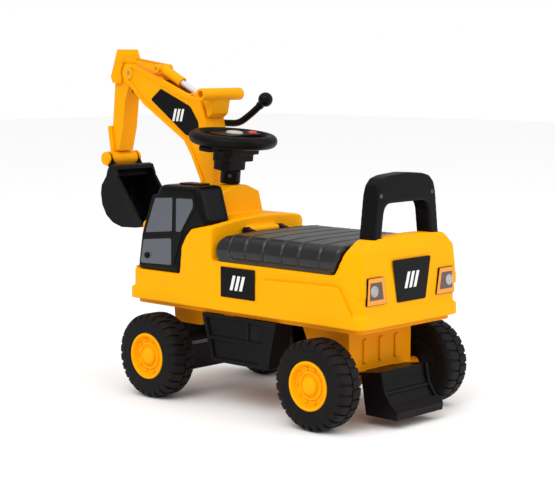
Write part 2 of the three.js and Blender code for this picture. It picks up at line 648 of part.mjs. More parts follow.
function stick() {
  const { pinY, pinZ, crank } = ARM;
  const beamOutline = outline([
    [-404, 455], [-411, 384], [-412, 350], [-397, 346], [-386.5, 384], [-381, 427], [-372, 448],
    [-356.5, 465, 4],
    [-358, 482, 5], [-383, 486], [-408, 466],
  ]);
  const beam = prism(beamOutline, "x", -15, 15);
  const head = prism(
    outline([[-408, 464], [-391.5, 508], [-389, 508.6], [-380, 487.6], [-394, 487.6]]), "x", -21, 21,
  );
  const around = rod(17.8, [-30, pinY, pinZ], [30, pinY, pinZ], 32);
  const headSides = prism(
    outline([[-408, 464], [-391.5, 508], [-380, 488.5], [-384, 455], [-404, 455]]), "x", -20.6, 20.6,
  ).subtract(around);
  const foot = prism(outline([[-420.6, 385, 3], [-411, 386], [-405, 345], [-413.5, 342]]), "x", -18, 18);
  const barrel = rod(11.4, [-26, BUCKET.pinY, BUCKET.pinZ], [26, BUCKET.pinY, BUCKET.pinZ], 20);
  const ear = (x0, x1) =>
    join(
      prism(outline([[-392, 496], [-390, 488], [-355, 487.2], [-308, 474], [-306, 484.5]]), "x", x0, x1),
      rod(6.6, [x0, RAM.frontY, RAM.frontZ], [x1, RAM.frontY, RAM.frontZ], 16),
    );
  const linkSlot = box(-0.4, 5.4, -402, -353, 440, 477);
  const linkPeg = rod(
    2.3, [-2, pinY + crank[0], pinZ + crank[1]], [7, pinY + crank[0], pinZ + crank[1]], 10,
  );
  const pinHole = rod(3.5, [-30, pinY, pinZ], [30, pinY, pinZ]);
  const ramPinHole = rod(2.5, [-30, RAM.frontY, RAM.frontZ], [30, RAM.frontY, RAM.frontZ], 12);
  const barrelHole = rod(3.4, [-40, BUCKET.pinY, BUCKET.pinZ], [40, BUCKET.pinY, BUCKET.pinZ]);
  const whole = join(beam, head, headSides, foot, barrel, ear(12.5, 16), ear(-16, -12.5));
  return cut(whole, linkSlot, pinHole, ramPinHole, barrelHole).add(linkPeg);
}

const ramAxis = new THREE.Vector2(RAM.rearY - RAM.frontY, RAM.rearZ - RAM.frontZ);
const ramAt = (t) => [RAM.frontY + ramAxis.x * t, RAM.frontZ + ramAxis.y * t];

function ramBarrel() {
  const [eyeY, eyeZ] = ramAt(0);
  const [startY, startZ] = ramAt(0.04);
  const [endY, endZ] = ramAt(0.52);
  const [boreY, boreZ] = ramAt(0.1);
  return cut(
    join(
      rod(6.4, [-12.1, eyeY, eyeZ], [12.1, eyeY, eyeZ], 18),
      rod(RAM.barrel, [0, startY, startZ], [0, endY, endZ], 18),
    ),
    rod(RAM.rod + 1.8, [0, boreY, boreZ], [0, endY + 5, endZ - 2], 14),
    rod(2.5, [-20, eyeY, eyeZ], [20, eyeY, eyeZ], 12),
  );
}

function ramRod() {
  const [frontY, frontZ] = ramAt(0.2);
  const [rearY, rearZ] = ramAt(1);
  return cut(
    join(
      rod(RAM.rod, [0, frontY, frontZ], [0, rearY, rearZ], 14),
      rod(6, [-5, rearY, rearZ], [5, rearY, rearZ], 16),
    ),
    rod(2.6, [-10, rearY, rearZ], [10, rearY, rearZ], 12),
  );
}

function bucket() {
  const { half, pinY, pinZ } = BUCKET;
  const back = [
    [-396, 312], [-398, 306], [-409.6, 291], [-411.6, 277.5], [-408.7, 260], [-398.5, 243], [-382.8, 232],
    [-361.7, 226.3], [-328, 227.5],
  ];
  const outside = outline([[-386, 325], [-394, 318], ...back, [-317, 229], [-314, 233.5]]);
  const inner = outline([
    [-376, 321], [-389, 313], [-404, 290], [-407, 277], [-404, 262], [-395, 247], [-381, 236.5],
    [-361, 231],
    [-326, 232], [-300, 240], [-340, 330],
  ]);
  const top = outline([[-396, 312], [-394, 318], [-386, 325], [-378, 323], [-371, 308], [-377, 305]]);
  const shell = cut(prism(outside, "x", -half, half), prism(inner, "x", -half + 4, half - 4));
  const roof = prism(top, "x", -half, half);
  const ear = (x0, x1) =>
    join(
      prism(
        outline(
          [[-400, 314], [pinY - 8, pinZ - 4], [pinY - 2, pinZ + 8], [pinY + 8, pinZ + 3], [-384, 318]]
        ),
        "x", x0, x1,
      ),
      rod(9, [x0, pinY, pinZ], [x1, pinY, pinZ], 18),
    );
  const barrelWay = rod(12.6, [-26.6, pinY, pinZ], [26.6, pinY, pinZ], 20);
  const hole = rod(3.5, [-40, pinY, pinZ], [40, pinY, pinZ]);
  return cut(join(shell, roof, ear(26.8, 29.6), ear(-29.6, -26.8)), barrelWay, hole);
}

function boomDecal(side) {
  const skin = prism(
    outline([[-292, 447, 3], [-315, 430, 3], [-236, 377, 3], [-205, 372], [-209, 398], [-226, 421, 14]]),
    "x", ARM.half - 1.5, ARM.half - 0.7,
  );
  const lever = rod(8.4, [0, ARM.leverY, ARM.leverZ], [40, ARM.leverY, ARM.leverZ], 20);
  return side > 0 ? skin : mirrored(skin.subtract(lever));
}

piece("turntable", turntable(), "black", digger);
piece("boom_left_half", boomHalf(false), "yellow", digger);
piece("boom_right_half", mirrored(boomHalf(true)), "yellow", digger);
piece("boom_grip", boomGrip(), "yellow", digger);
piece("boom_decal_left", boomDecal(1), "black", digger);
piece("boom_decal_right", boomDecal(-1), "black", digger);
piece(
  "boom_foot_pin", rod(4, [-26.5, ARM.footY, ARM.footZ], [26.5, ARM.footY, ARM.footZ]), "steel", digger,
);
piece("boom_tip_pin", rod(3, [-20.5, ARM.pinY, ARM.pinZ], [20.5, ARM.pinY, ARM.pinZ]), "steel", digger);
piece("lever", lever(), "black", digger);
piece(
  "lever_knob", solid(new THREE.SphereGeometry(11, 14, 10).translate(-ARM.half - 6, -108.6, 432.5)),
  "black", digger,
);
piece("push_link", pushLink(), "steel", digger);
piece("stick", stick(), "yellow", digger);
piece("ram_barrel", ramBarrel(), "yellow", digger);
piece("ram_rod", ramRod(), "pale", digger);
piece(
  "ram_pin", rod(2.1, [-17.6, RAM.frontY, RAM.frontZ], [17.6, RAM.frontY, RAM.frontZ], 12), "steel", digger,
);
piece("ram_foot_pin", rod(2, [-17.5, RAM.rearY, RAM.rearZ], [17.5, RAM.rearY, RAM.rearZ]), "steel", digger);
piece("bucket", bucket(), "black", digger);
const bucketRod = (radius, x0, x1) => rod(
  radius, [x0, BUCKET.pinY, BUCKET.pinZ], [x1, BUCKET.pinY, BUCKET.pinZ], 20,
);
piece(
  "bucket_pin", join(bucketRod(3, -33, 33), bucketRod(11, 30, 34.4), bucketRod(11, -34.4, -30)), "yellow",
  digger,
);

part.position.y = -(FRONT_REACH + REAR_REACH) / 2;
const centred = new THREE.Group();
centred.add(part);

export default centred;
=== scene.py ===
"""Dresses a toddler's ride-on digger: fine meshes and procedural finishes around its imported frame."""

from __future__ import annotations

import logging
import math
from dataclasses import dataclass
from enum import Enum
from typing import ClassVar, Iterable, Sequence

import bmesh
import bpy
from mathutils import Matrix, Quaternion, Vector

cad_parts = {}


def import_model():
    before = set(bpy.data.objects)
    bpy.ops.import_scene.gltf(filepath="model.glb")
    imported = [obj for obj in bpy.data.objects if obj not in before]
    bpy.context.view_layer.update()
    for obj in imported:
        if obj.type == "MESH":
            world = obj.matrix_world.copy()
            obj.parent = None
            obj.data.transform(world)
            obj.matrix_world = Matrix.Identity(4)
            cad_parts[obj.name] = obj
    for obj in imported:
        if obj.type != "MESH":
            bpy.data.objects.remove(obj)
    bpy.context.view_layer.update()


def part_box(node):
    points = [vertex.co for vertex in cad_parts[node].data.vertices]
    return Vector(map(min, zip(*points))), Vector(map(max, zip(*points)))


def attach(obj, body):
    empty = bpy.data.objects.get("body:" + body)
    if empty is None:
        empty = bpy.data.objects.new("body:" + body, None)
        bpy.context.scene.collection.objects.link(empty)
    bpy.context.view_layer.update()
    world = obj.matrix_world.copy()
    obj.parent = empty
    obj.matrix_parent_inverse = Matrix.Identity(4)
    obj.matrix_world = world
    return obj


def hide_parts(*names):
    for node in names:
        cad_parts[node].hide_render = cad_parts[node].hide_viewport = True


LOG = logging.getLogger("digger")
MM = 0.001
FRONT_AXLE_Y = -155.4
REAR_AXLE_Y = 161.5
Colour = tuple[float, float, float]
Piece = bpy.types.Object
Outline = list[tuple[float, ...]]


# ---- shading ----


class Wire:
    """One value in a shader tree; Python's operators on it add Math nodes."""

    def __init__(self, tree: bpy.types.NodeTree, socket: bpy.types.NodeSocket) -> None:
        """Keeps the tree and the output socket that carries the value."""
        self.tree = tree
        self.socket = socket

    def _math(self, operation: str, first: "Wire | float", second: "Wire | float") -> "Wire":
        """Adds one Math node.

        Args:
            operation: Math node operation, such as "ADD".
            first: left operand.
            second: right operand.

        Returns:
            The node's result.
        """
        node = self.tree.nodes.new("ShaderNodeMath")
        node.operation = operation
        for slot, value in zip(node.inputs, (first, second)):
            if isinstance(value, Wire):
                self.tree.links.new(value.socket, slot)
            else:
                slot.default_value = value
        return Wire(self.tree, node.outputs[0])

    def __add__(self, other: "Wire | float") -> "Wire":
        """Sum."""
        return self._math("ADD", self, other)

    __radd__ = __add__

    def __mul__(self, other: "Wire | float") -> "Wire":
        """Product."""
        return self._math("MULTIPLY", self, other)

    __rmul__ = __mul__

    def __sub__(self, other: "Wire | float") -> "Wire":
        """Difference."""
        return self._math("SUBTRACT", self, other)

    def __rsub__(self, other: float) -> "Wire":
        """Difference from a number."""
        return self._math("SUBTRACT", other, self)

    def clipped(self) -> "Wire":
        """The value held between 0 and 1."""
        held = self._math("ADD", self, 0.0)
        held.socket.node.use_clamp = True
        return held


class Tree:
    """A node tree; every node but the Math nodes comes from its node method."""

    def __init__(self, tree: bpy.types.NodeTree) -> None:
        """Keeps the tree."""
        self.tree = tree

    def node(self, kind: str, settings: dict | None = None, inputs: dict | None = None) -> bpy.types.Node:
        """Adds a node.

        Args:
            kind: the node's type.
            settings: attributes set before its sockets.
            inputs: values or wires for its input sockets, by name or number.

        Returns:
            The new node.
        """
        made = self.tree.nodes.new(kind)
        for key, value in (settings or {}).items():
            setattr(made, key, value)
        for key, value in (inputs or {}).items():
            self.feed(made.inputs[key], value)
        return made

    def wire(
        self, output: str | int, kind: str, settings: dict | None = None, inputs: dict | None = None
    ) -> Wire:
        """Adds a node as node() does and returns the wire from one of its outputs."""
        return Wire(self.tree, self.node(kind, settings, inputs).outputs[output])

    def feed(self, socket: bpy.types.NodeSocket, value: object) -> None:
        """Links a wire to a socket, or sets a plain value on it.

        Args:
            socket: the input socket.
            value: a wire, a number or a colour.
        """
        if isinstance(value, Wire):
            self.tree.links.new(value.socket, socket)
        elif isinstance(value, tuple) and len(value) == 3 and socket.type == "RGBA":
            socket.default_value = (*value, 1.0)
        else:
            socket.default_value = value


class Paint(Tree):
    """One node-based material around a Principled shader."""

    EDGE_START: ClassVar[float] = 0.52
    EDGE_GAIN: ClassVar[float] = 8.0

    def __init__(self, name: str) -> None:
        """Starts a material of that name with an empty tree but for the shader and the output."""
        self.material = bpy.data.materials.new(name)
        self.material.use_nodes = True
        super().__init__(self.material.node_tree)
        self.tree.nodes.clear()
        self.shader = self.node("ShaderNodeBsdfPrincipled")
        output = self.node("ShaderNodeOutputMaterial")
        self.tree.links.new(self.shader.outputs[0], output.inputs["Surface"])
        self.place = self.wire("Object", "ShaderNodeTexCoord")

    def noise(self, scale: float, detail: float = 2.0, roughness: float = 0.5) -> Wire:
        """A noise value from 0 to 1, with scale features a metre and detail octaves."""
        inputs = {"Vector": self.place, "Scale": scale, "Detail": detail, "Roughness": roughness}
        return self.wire(0, "ShaderNodeTexNoise", None, inputs)

    def cells(self, scale: float) -> Wire:
        """Distance to the nearest of that many cell centres a metre."""
        return self.wire("Distance", "ShaderNodeTexVoronoi", None, {"Vector": self.place, "Scale": scale})

    def edges(self) -> Wire:
        """A value that rises above 0 along outward edges and corners."""
        point = self.wire("Pointiness", "ShaderNodeNewGeometry")
        return ((point - self.EDGE_START) * self.EDGE_GAIN).clipped()

    def mix(self, first: Colour | Wire, second: Colour | Wire, factor: Wire) -> Wire:
        """The first colour where the factor is 0, the second where it is 1."""
        return self.wire(2, "ShaderNodeMix", {"data_type": "RGBA"}, {0: factor, 6: first, 7: second})

    def bump(self, height: Wire, depth: float) -> Wire:
        """A normal from a height that runs from 0 to 1 over that depth in metres."""
        return self.wire(0, "ShaderNodeBump", None, {"Height": height, "Distance": depth, "Strength": 1.0})

    def surface(self, **inputs: object) -> None:
        """Feeds the shader's sockets, named with underscores for spaces."""
        for key, value in inputs.items():
            self.feed(self.shader.inputs[key.replace("_", " ")], value)


@dataclass(frozen=True)
class Plastic:
    """A moulded plastic: colour with slow unevenness, fine grain and slightly polished edges.

    The scales count features a metre, and grain is the depth of the relief in metres.
    """

    name: str
    slot: str
    colour: Colour
    deep: Colour
    roughness: float = 0.4
    spread: float = 0.1
    grain: float = 0.00006
    grain_scale: float = 900.0
    worn: Colour | None = None
    coat: float = 0.0
    shine: float = 0.5
    drift_scale: float = 9.0
    wave_scale: float = 45.0
    cloud_scale: float = 60.0
    drift_start: float = 0.35
    drift_gain: float = 1.6
    fine_share: float = 0.7
    wave_share: float = 0.9
    fine_gloss: float = 0.04
    worn_share: float = 0.6
    coat_roughness: float = 0.25

    def material(self) -> bpy.types.Material:
        """Builds the finish."""
        paint = Paint(self.name)
        drift = paint.noise(self.drift_scale, 3.0)
        fine = paint.noise(self.grain_scale, 2.0, 0.6)
        wave = paint.noise(self.wave_scale, 1.0)
        patches = ((drift - self.drift_start) * self.drift_gain).clipped()
        colour = paint.mix(self.colour, self.deep, patches)
        if self.worn:
            colour = paint.mix(colour, self.worn, paint.edges() * self.worn_share)
        cloud = paint.noise(self.cloud_scale, 4.0) - 0.5
        paint.surface(
            Base_Color=colour,
            Roughness=self.roughness + self.spread * cloud + self.fine_gloss * fine,
            Normal=paint.bump(fine * self.fine_share + wave * self.wave_share, self.grain),
            Coat_Weight=self.coat,
            Coat_Roughness=self.coat_roughness,
            Specular_IOR_Level=self.shine,
        )
        return paint.material


@dataclass(frozen=True)
class Metal:
    """A zinc-plated or polished metal with fine cloudy roughness."""

    name: str
    slot: str
    colour: Colour
    roughness: float = 0.3
    spread: float = 0.25
    cloud_middle: float = 0.4
    dullness: float = 0.7
    cloud_scale: float = 220.0
    grain_scale: float = 1500.0
    grain: float = 0.00003

    def material(self) -> bpy.types.Material:
        """Builds the finish."""
        paint = Paint(self.name)
        cloud = paint.noise(self.cloud_scale, 4.0)
        dulled = tuple(self.dullness * c for c in self.colour)
        paint.surface(
            Base_Color=paint.mix(self.colour, dulled, cloud),
            Metallic=1.0,
            Roughness=self.roughness + self.spread * (cloud - self.cloud_middle),
            Normal=paint.bump(paint.noise(self.grain_scale), self.grain),
        )
        return paint.material


@dataclass(frozen=True)
class Lens:
    """A tinted moulded lens or a printed pane, smooth on top with a faint pattern inside."""

    name: str
    slot: str
    colour: Colour
    deep: Colour
    cell_scale: float = 450.0
    roughness: float = 0.15
    relief: float = 0.0001
    coat: float = 0.5
    coat_roughness: float = 0.08
    bending: float = 1.5
    drift_scale: float = 25.0
    drift_share: float = 0.8
    cell_share: float = 0.3
    spread: float = 0.15
    cloud_scale: float = 120.0

    def material(self) -> bpy.types.Material:
        """Builds the finish."""
        paint = Paint(self.name)
        cell = paint.cells(self.cell_scale)
        drift = paint.noise(self.drift_scale, 2.0)
        pattern = (drift * self.drift_share + cell * self.cell_share).clipped()
        paint.surface(
            Base_Color=paint.mix(self.colour, self.deep, pattern),
            Roughness=self.roughness + self.spread * paint.noise(self.cloud_scale, 3.0),
            Normal=paint.bump(cell, self.relief),
            Coat_Weight=self.coat,
            Coat_Roughness=self.coat_roughness,
            IOR=self.bending,
        )
        return paint.material


@dataclass(frozen=True)
class StudioFloor:
    """The pale floor of the studio."""

    name: str = "studio_floor"
    colour: Colour = (0.975, 0.975, 0.975)
    shade: float = 0.985

    def material(self) -> bpy.types.Material:
        """Builds the finish."""
        paint = Paint(self.name)
        shade = tuple(self.shade * c for c in self.colour)
        paint.surface(
            Base_Color=paint.mix(self.colour, shade, paint.noise(3.0)),
            Roughness=0.6 + 0.06 * paint.noise(6.0),
            Specular_IOR_Level=0.0,
        )
        return paint.material


class Finish(Enum):
    """The finishes of the digger's pieces."""

    SHELL = Plastic(
        "yellow_shell", "yellow_shell", (0.95, 0.4032, 0.0), (0.93, 0.3764, 0.0), 0.38,
        grain=0.00008, shine=0.06,
    )
    FRAME = Plastic(
        "yellow_frame", "yellow_frame", (0.86, 0.3136, 0.0), (0.82, 0.2778, 0.0), 0.42, shine=0.06
    )
    ARM = Plastic("yellow_arm", "yellow_arm", (0.93, 0.3764, 0.0), (0.89, 0.3405, 0.0), 0.38, shine=0.06)
    RIM = Plastic("yellow_rim", "yellow_rim", (0.95, 0.4122, 0.0), (0.92, 0.3764, 0.0), 0.36, shine=0.06)
    TYRE = Plastic(
        "tyre_black", "tyre_black", (0.00403, 0.0033, 0.0033), (0.00651, 0.0054, 0.0054), 0.56, 0.16, 0.0001,
        650.0, worn=(0.01736, 0.0144, 0.0138), shine=0.13,
    )
    SEAT = Plastic(
        "black_shell", "black_shell", (0.0031, 0.00252, 0.0027), (0.00465, 0.00384, 0.00402), 0.36, 0.12,
        0.00006, 1100.0, worn=(0.0124, 0.0102, 0.0102), shine=0.09,
    )
    CAB = Plastic(
        "black_cab", "black_shell", (0.00279, 0.0024, 0.00252), (0.00403, 0.00348, 0.0036), 0.3, 0.1,
        0.00004, worn=(0.01116, 0.0096, 0.0096), shine=0.09,
    )
    WORKING = Plastic(
        "black_working", "black_working", (0.002976, 0.00264, 0.00276), (0.00434, 0.00378, 0.0039), 0.34,
        0.12, 0.00005, worn=(0.01116, 0.0096, 0.0096), shine=0.1,
    )
    STEERING = Plastic(
        "black_steering", "black_steering", (0.00341, 0.00282, 0.003), (0.00527, 0.00438, 0.00456), 0.38,
        0.12, 0.00008, 1300.0, worn=(0.01488, 0.012, 0.012), shine=0.09,
    )
    LABEL = Plastic(
        "black_label", "black_label", (0.001984, 0.0018, 0.00192), (0.002976, 0.00264, 0.00276), 0.26, 0.05,
        0.00002, shine=0.1,
    )
    LID = Plastic(
        "black_seat", "black_shell", (0.004, 0.0033, 0.0034), (0.006, 0.005, 0.0051), 0.33, 0.12,
        0.00006, 1100.0, worn=(0.02, 0.016, 0.016), coat=0.08, shine=0.45,
    )
    MARK = Plastic("mark_white", "black_label", (0.82, 0.82, 0.8), (0.76, 0.76, 0.74), 0.35, 0.05, 0.00002)
    PANE = Lens("cab_glazing", "cab_glazing", (0.062, 0.07, 0.09), (0.05, 0.057, 0.076), 90.0, 0.3, 0.00002)
    LAMP = Plastic("lamp_orange", "lamp_orange", (0.84, 0.3, 0.012), (0.78, 0.25, 0.01), 0.3, 0.08, 0.00003)
    LAMP_DARK = Lens("lamp_dark", "lamp_orange", (0.1, 0.022, 0.01), (0.035, 0.008, 0.005), 300.0)
    LAMP_GLASS = Lens(
        "lamp_glass", "lamp_orange", (0.62, 0.6, 0.57), (0.25, 0.23, 0.21), 320.0, 0.08, 0.0003
    )
    PALE = Plastic("button_pale", "button_pale", (0.55, 0.5, 0.43), (0.46, 0.41, 0.35), 0.3)
    RED = Plastic("button_red", "button_red", (0.6, 0.045, 0.035), (0.5, 0.03, 0.025), 0.3)
    ROD = Plastic("rod_pale", "rod_pale", (0.66, 0.63, 0.64), (0.56, 0.54, 0.55), 0.3)
    STEEL = Metal("steel", "steel", (0.5, 0.5, 0.52))
    # Dark metal: part of its darkness is painted shade, standing in for the shadow in the recessed holes
    # round the handle screws; the column screw and the tie rod use it too.
    SCREW = Metal("screw_dark_and_painted_shade", "steel", (0.14, 0.135, 0.14), 0.34)


# ---- making and placing meshes ----


def link(name: str, data: bpy.types.ID) -> Piece:
    """Makes an object around its data and adds it to the scene."""
    made = bpy.data.objects.new(name, data)
    bpy.context.scene.collection.objects.link(made)
    return made


class Axis(Enum):
    """The direction that a prism or a turned piece runs along."""

    X = "x"
    Y = "y"
    Z = "z"


@dataclass
class Bench:
    """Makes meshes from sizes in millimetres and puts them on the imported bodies.

    Lengths along Y are measured from the middle of the body's flange, `shift` metres from the origin.
    """

    shift: float
    weld: float = 2e-6
    flat: float = 1.0

    def __post_init__(self) -> None:
        """Prepares an empty rack of materials."""
        self.rack: dict[str, bpy.types.Material] = {}

    def at(self, point: Sequence[float]) -> Vector:
        """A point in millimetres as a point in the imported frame."""
        return Vector(point[:3]) * MM + Vector((0.0, self.shift, 0.0))

    def mesh(
        self, name: str, points: Iterable[Sequence[float]], faces: Iterable[Sequence[int]]
    ) -> Piece:
        """Makes an object from points in millimetres and faces.

        Args:
            name: the piece's name.
            points: vertices in millimetres.
            faces: loops of vertex numbers.

        Returns:
            The linked object, with its faces pointing out.
        """
        data = bpy.data.meshes.new(name)
        data.from_pydata([self.at(p) for p in points], [], [tuple(f) for f in faces])
        piece = link(name, data)
        work = bmesh.new()
        work.from_mesh(data)
        bmesh.ops.recalc_face_normals(work, faces=work.faces)
        work.to_mesh(data)
        work.free()
        return piece

    @staticmethod
    def strips(rings: int, sides: int, closed: bool = True) -> list[list[int]]:
        """Faces that join equal rings of points.

        Args:
            rings: number of rings.
            sides: points in each ring.
            closed: whether each ring's last point meets its first.

        Returns:
            Loops of four vertex numbers.
        """
        faces = []
        for ring in range(rings - 1):
            for k in range(sides if closed else sides - 1):
                near, far = ring * sides, (ring + 1) * sides
                after = (k + 1) % sides
                faces.append([near + k, near + after, far + after, far + k])
        return faces

    @staticmethod
    def rounded(corners: Outline, steps: int = 6) -> Outline:
        """Rounds the corners of an outline.

        Args:
            corners: (a, b) or (a, b, radius) corner points in order.
            steps: straight pieces in each rounded corner.

        Returns:
            The outline's plain points.
        """
        result: Outline = []
        for i, corner in enumerate(corners):
            here = Vector(corner[:2])
            if len(corner) < 3:
                result.append(tuple(here))
                continue
            into = Vector(corners[i - 1][:2]) - here
            out = Vector(corners[(i + 1) % len(corners)][:2]) - here
            reach = min(corner[2] / math.tan(into.angle(out) / 2), 0.49 * into.length, 0.49 * out.length)
            start = here + into.normalized() * reach
            end = here + out.normalized() * reach
            for k in range(steps + 1):
                t = k / steps
                result.append(tuple(start * (1 - t) ** 2 + here * (2 * t * (1 - t)) + end * t**2))
        return result

    def prism(self, name: str, corners: Outline, axis: Axis, low: float, high: float) -> Piece:
        """Extrudes an outline: (y, z) along X, (x, z) along Y or (x, y) along Z.

        Args:
            name: the piece's name.
            corners: outline corners, with a radius where they are round.
            axis: direction of the extrusion.
            low: where it starts.
            high: where it ends.

        Returns:
            The object.
        """
        flat = self.rounded(corners)
        order = {Axis.X: (2, 0, 1), Axis.Y: (0, 2, 1), Axis.Z: (0, 1, 2)}[axis]
        points = []
        for depth in (low, high):
            for a, b in flat:
                triple = (a, b, depth)
                points.append(tuple(triple[k] for k in order))
        count = len(flat)
        caps = [list(range(count)), list(range(count, 2 * count))]
        return self.mesh(name, points, caps + self.strips(2, count))

    def turned(
        self,
        name: str,
        profile: Outline,
        centre: Sequence[float],
        axis: Axis = Axis.X,
        sides: int = 64,
        flip: int = 1,
    ) -> Piece:
        """Revolves a profile.

        Args:
            name: the piece's name.
            profile: (radius, along) points; a radius of 0 closes an end on the axis.
            centre: point on the axis that along is measured from.
            axis: the axis of revolution.
            sides: steps round the axis.
            flip: -1 turns the piece to face the other way along its axis.

        Returns:
            The object.
        """
        points: list[tuple[float, ...]] = []
        rings = []
        for radius, along in profile:
            turns = 1 if radius == 0 else sides
            rings.append(range(len(points), len(points) + turns))
            for k in range(turns):
                angle = 2 * math.pi * k / sides
                a, b = radius * math.cos(angle), radius * math.sin(angle)
                triple = [a, b]
                triple.insert(list(Axis).index(axis), along * flip)
                points.append(tuple(c + t for c, t in zip(centre, triple)))
        faces = []
        closed = profile[0][0] != 0
        pairs = list(zip(rings, rings[1:])) + ([(rings[-1], rings[0])] if closed else [])
        for near, far in pairs:
            for k in range(sides):
                corners = [near[k % len(near)], near[(k + 1) % len(near)]]
                corners += [far[(k + 1) % len(far)], far[k % len(far)]]
                loop = list(dict.fromkeys(corners))
                if len(loop) > 2:
                    faces.append(loop)
        return self.mesh(name, points, faces)

    def tube(
        self, name: str, route: Sequence[Sequence[float]], radius: float, sides: int = 20
    ) -> Piece:
        """Sweeps a round section along a smooth route through points, with domed ends.

        Args:
            name: the piece's name.
            route: points in millimetres.
            radius: the section's radius.
            sides: steps round the section.

        Returns:
            The object.
        """
        stations = self.smooth_route([Vector(p) for p in route])
        across = Vector((1, 0, 0))
        points = []
        for i, here in enumerate(stations):
            ahead = stations[min(i + 1, len(stations) - 1)] - stations[max(i - 1, 0)]
            turn = across.cross(ahead).normalized()
            for k in range(sides):
                angle = 2 * math.pi * k / sides
                points.append(here + across * radius * math.cos(angle) + turn * radius * math.sin(angle))
        total = len(points)
        caps = [list(range(sides)), list(range(total - sides, total))]
        return self.mesh(name, points, self.strips(len(stations), sides) + caps)

    @staticmethod
    def smooth_route(route: list[Vector], steps: int = 8) -> list[Vector]:
        """Draws a Catmull-Rom curve.

        Args:
            route: points that the curve passes through.
            steps: pieces between two of them.

        Returns:
            Points along the curve.
        """
        ends = [route[0] * 2 - route[1], *route, route[-1] * 2 - route[-2]]
        result = []
        for p, q, r, s in zip(ends, ends[1:], ends[2:], ends[3:]):
            for k in range(steps):
                t = k / steps
                bend = (2 * p - 5 * q + 4 * r - s) * t**2 + (3 * q - p - 3 * r + s) * t**3
                result.append(0.5 * (2 * q + (r - p) * t + bend))
        return result + [route[-1]]

    def copy(self, node: str, name: str) -> Piece:
        """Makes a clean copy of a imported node: welded, with its flat faces joined up.

        Args:
            node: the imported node.
            name: the copy's name.

        Returns:
            The linked copy.
        """
        source = bpy.data.objects[node]
        data = bpy.data.meshes.new(name)
        work = bmesh.new()
        work.from_mesh(source.data)
        bmesh.ops.remove_doubles(work, verts=work.verts, dist=self.weld)
        turn = math.radians(self.flat)
        bmesh.ops.dissolve_limit(work, angle_limit=turn, verts=work.verts, edges=work.edges)
        work.to_mesh(data)
        work.free()
        return link(name, data)

    @staticmethod
    def bake(piece: Piece) -> Piece:
        """Applies the piece's modifiers to its mesh."""
        graph = bpy.context.evaluated_depsgraph_get()
        made = bpy.data.meshes.new_from_object(piece.evaluated_get(graph))
        piece.modifiers.clear()
        piece.data = made
        return piece

    def join(self, piece: Piece, *others: Piece) -> Piece:
        """Joins pieces.

        Args:
            piece: the object that stays.
            others: objects whose meshes go into it; they are removed.

        Returns:
            The piece.
        """
        work = bmesh.new()
        work.from_mesh(piece.data)
        for other in others:
            work.from_mesh(other.data)
            bpy.data.objects.remove(other)
        work.to_mesh(piece.data)
        work.free()
        return piece

    def cut(self, piece: Piece, *tools: Piece) -> Piece:
        """Cuts shapes out of a piece.

        Args:
            piece: the object that stays.
            tools: closed shapes to cut away; they are removed.

        Returns:
            The piece.
        """
        for tool in tools:
            change = piece.modifiers.new("cut", "BOOLEAN")
            change.operation = "DIFFERENCE"
            change.solver = "EXACT"
            change.object = tool
            self.bake(piece)
            bpy.data.objects.remove(tool)
        return piece

    def bevel(
        self, piece: Piece, width: float, steps: int = 3, angle: float = 30.0
    ) -> Piece:
        """Rounds a piece's edges.

        Args:
            piece: the object.
            width: the bevel's width in millimetres.
            steps: segments across it.
            angle: only edges that turn more than this many degrees.

        Returns:
            The same object.
        """
        change = piece.modifiers.new("bevel", "BEVEL")
        change.width = width * MM
        change.segments = steps
        change.limit_method = "ANGLE"
        change.angle_limit = math.radians(angle)
        change.miter_outer = "MITER_ARC"
        self.smooth(self.bake(piece), 40.0)
        piece.modifiers.new("even", "WEIGHTED_NORMAL").keep_sharp = True
        return self.bake(piece)

    @staticmethod
    def smooth(piece: Piece, angle: float = 35.0) -> Piece:
        """Shades a piece smoothly but for edges sharper than the angle in degrees."""
        piece.data.polygons.foreach_set("use_smooth", [True] * len(piece.data.polygons))
        piece.data.set_sharp_from_angle(angle=math.radians(angle))
        return piece

    def soften(
        self, piece: Piece, voxel: float, rounds: int, keep: float = 0.35
    ) -> Piece:
        """Remeshes a piece and relaxes it, as blow moulding rounds every edge.

        Args:
            piece: the object.
            voxel: the grid's size in millimetres.
            rounds: passes of smoothing.
            keep: share of the faces kept at the end.

        Returns:
            The same object.
        """
        grid = piece.modifiers.new("grid", "REMESH")
        grid.mode = "VOXEL"
        grid.voxel_size = voxel * MM
        relax = piece.modifiers.new("relax", "SMOOTH")
        relax.factor = 0.5
        relax.iterations = rounds
        thin = piece.modifiers.new("thin", "DECIMATE")
        thin.ratio = keep
        return self.smooth(self.bake(piece), 60.0)

    def dress(self, piece: Piece, body: str, finish: Finish, *nodes: str) -> Piece:
        """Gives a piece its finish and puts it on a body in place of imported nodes.

        Args:
            piece: the object.
            body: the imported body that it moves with.
            finish: its finish.
            nodes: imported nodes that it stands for.

        Returns:
            The same object.
        """
        piece.data.materials.clear()
        piece.data.materials.append(self.material(finish))
        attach(piece, body)
        if nodes:
            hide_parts(*nodes)
        LOG.info("%s: %d faces on %s", piece.name, len(piece.data.polygons), body)
        return piece

    def material(self, finish: Finish) -> bpy.types.Material:
        """The finish's material, made once."""
        if finish.name not in self.rack:
            self.rack[finish.name] = finish.value.material()
        return self.rack[finish.name]

    def carry(self, node: str, body: str, finish: Finish, width: float, steps: int = 3) -> Piece:
        """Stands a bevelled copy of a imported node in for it; bevel() says what the sizes are."""
        piece = self.bevel(self.copy(node, node + "_fine"), width, steps)
        return self.dress(piece, body, finish, node)

    def blow(self, node: str, body: str, finish: Finish, voxel: float, rounds: int) -> Piece:
        """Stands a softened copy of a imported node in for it; soften() says what the sizes are."""
        piece = self.soften(self.copy(node, node + "_fine"), voxel, rounds)
        return self.dress(piece, body, finish, node)

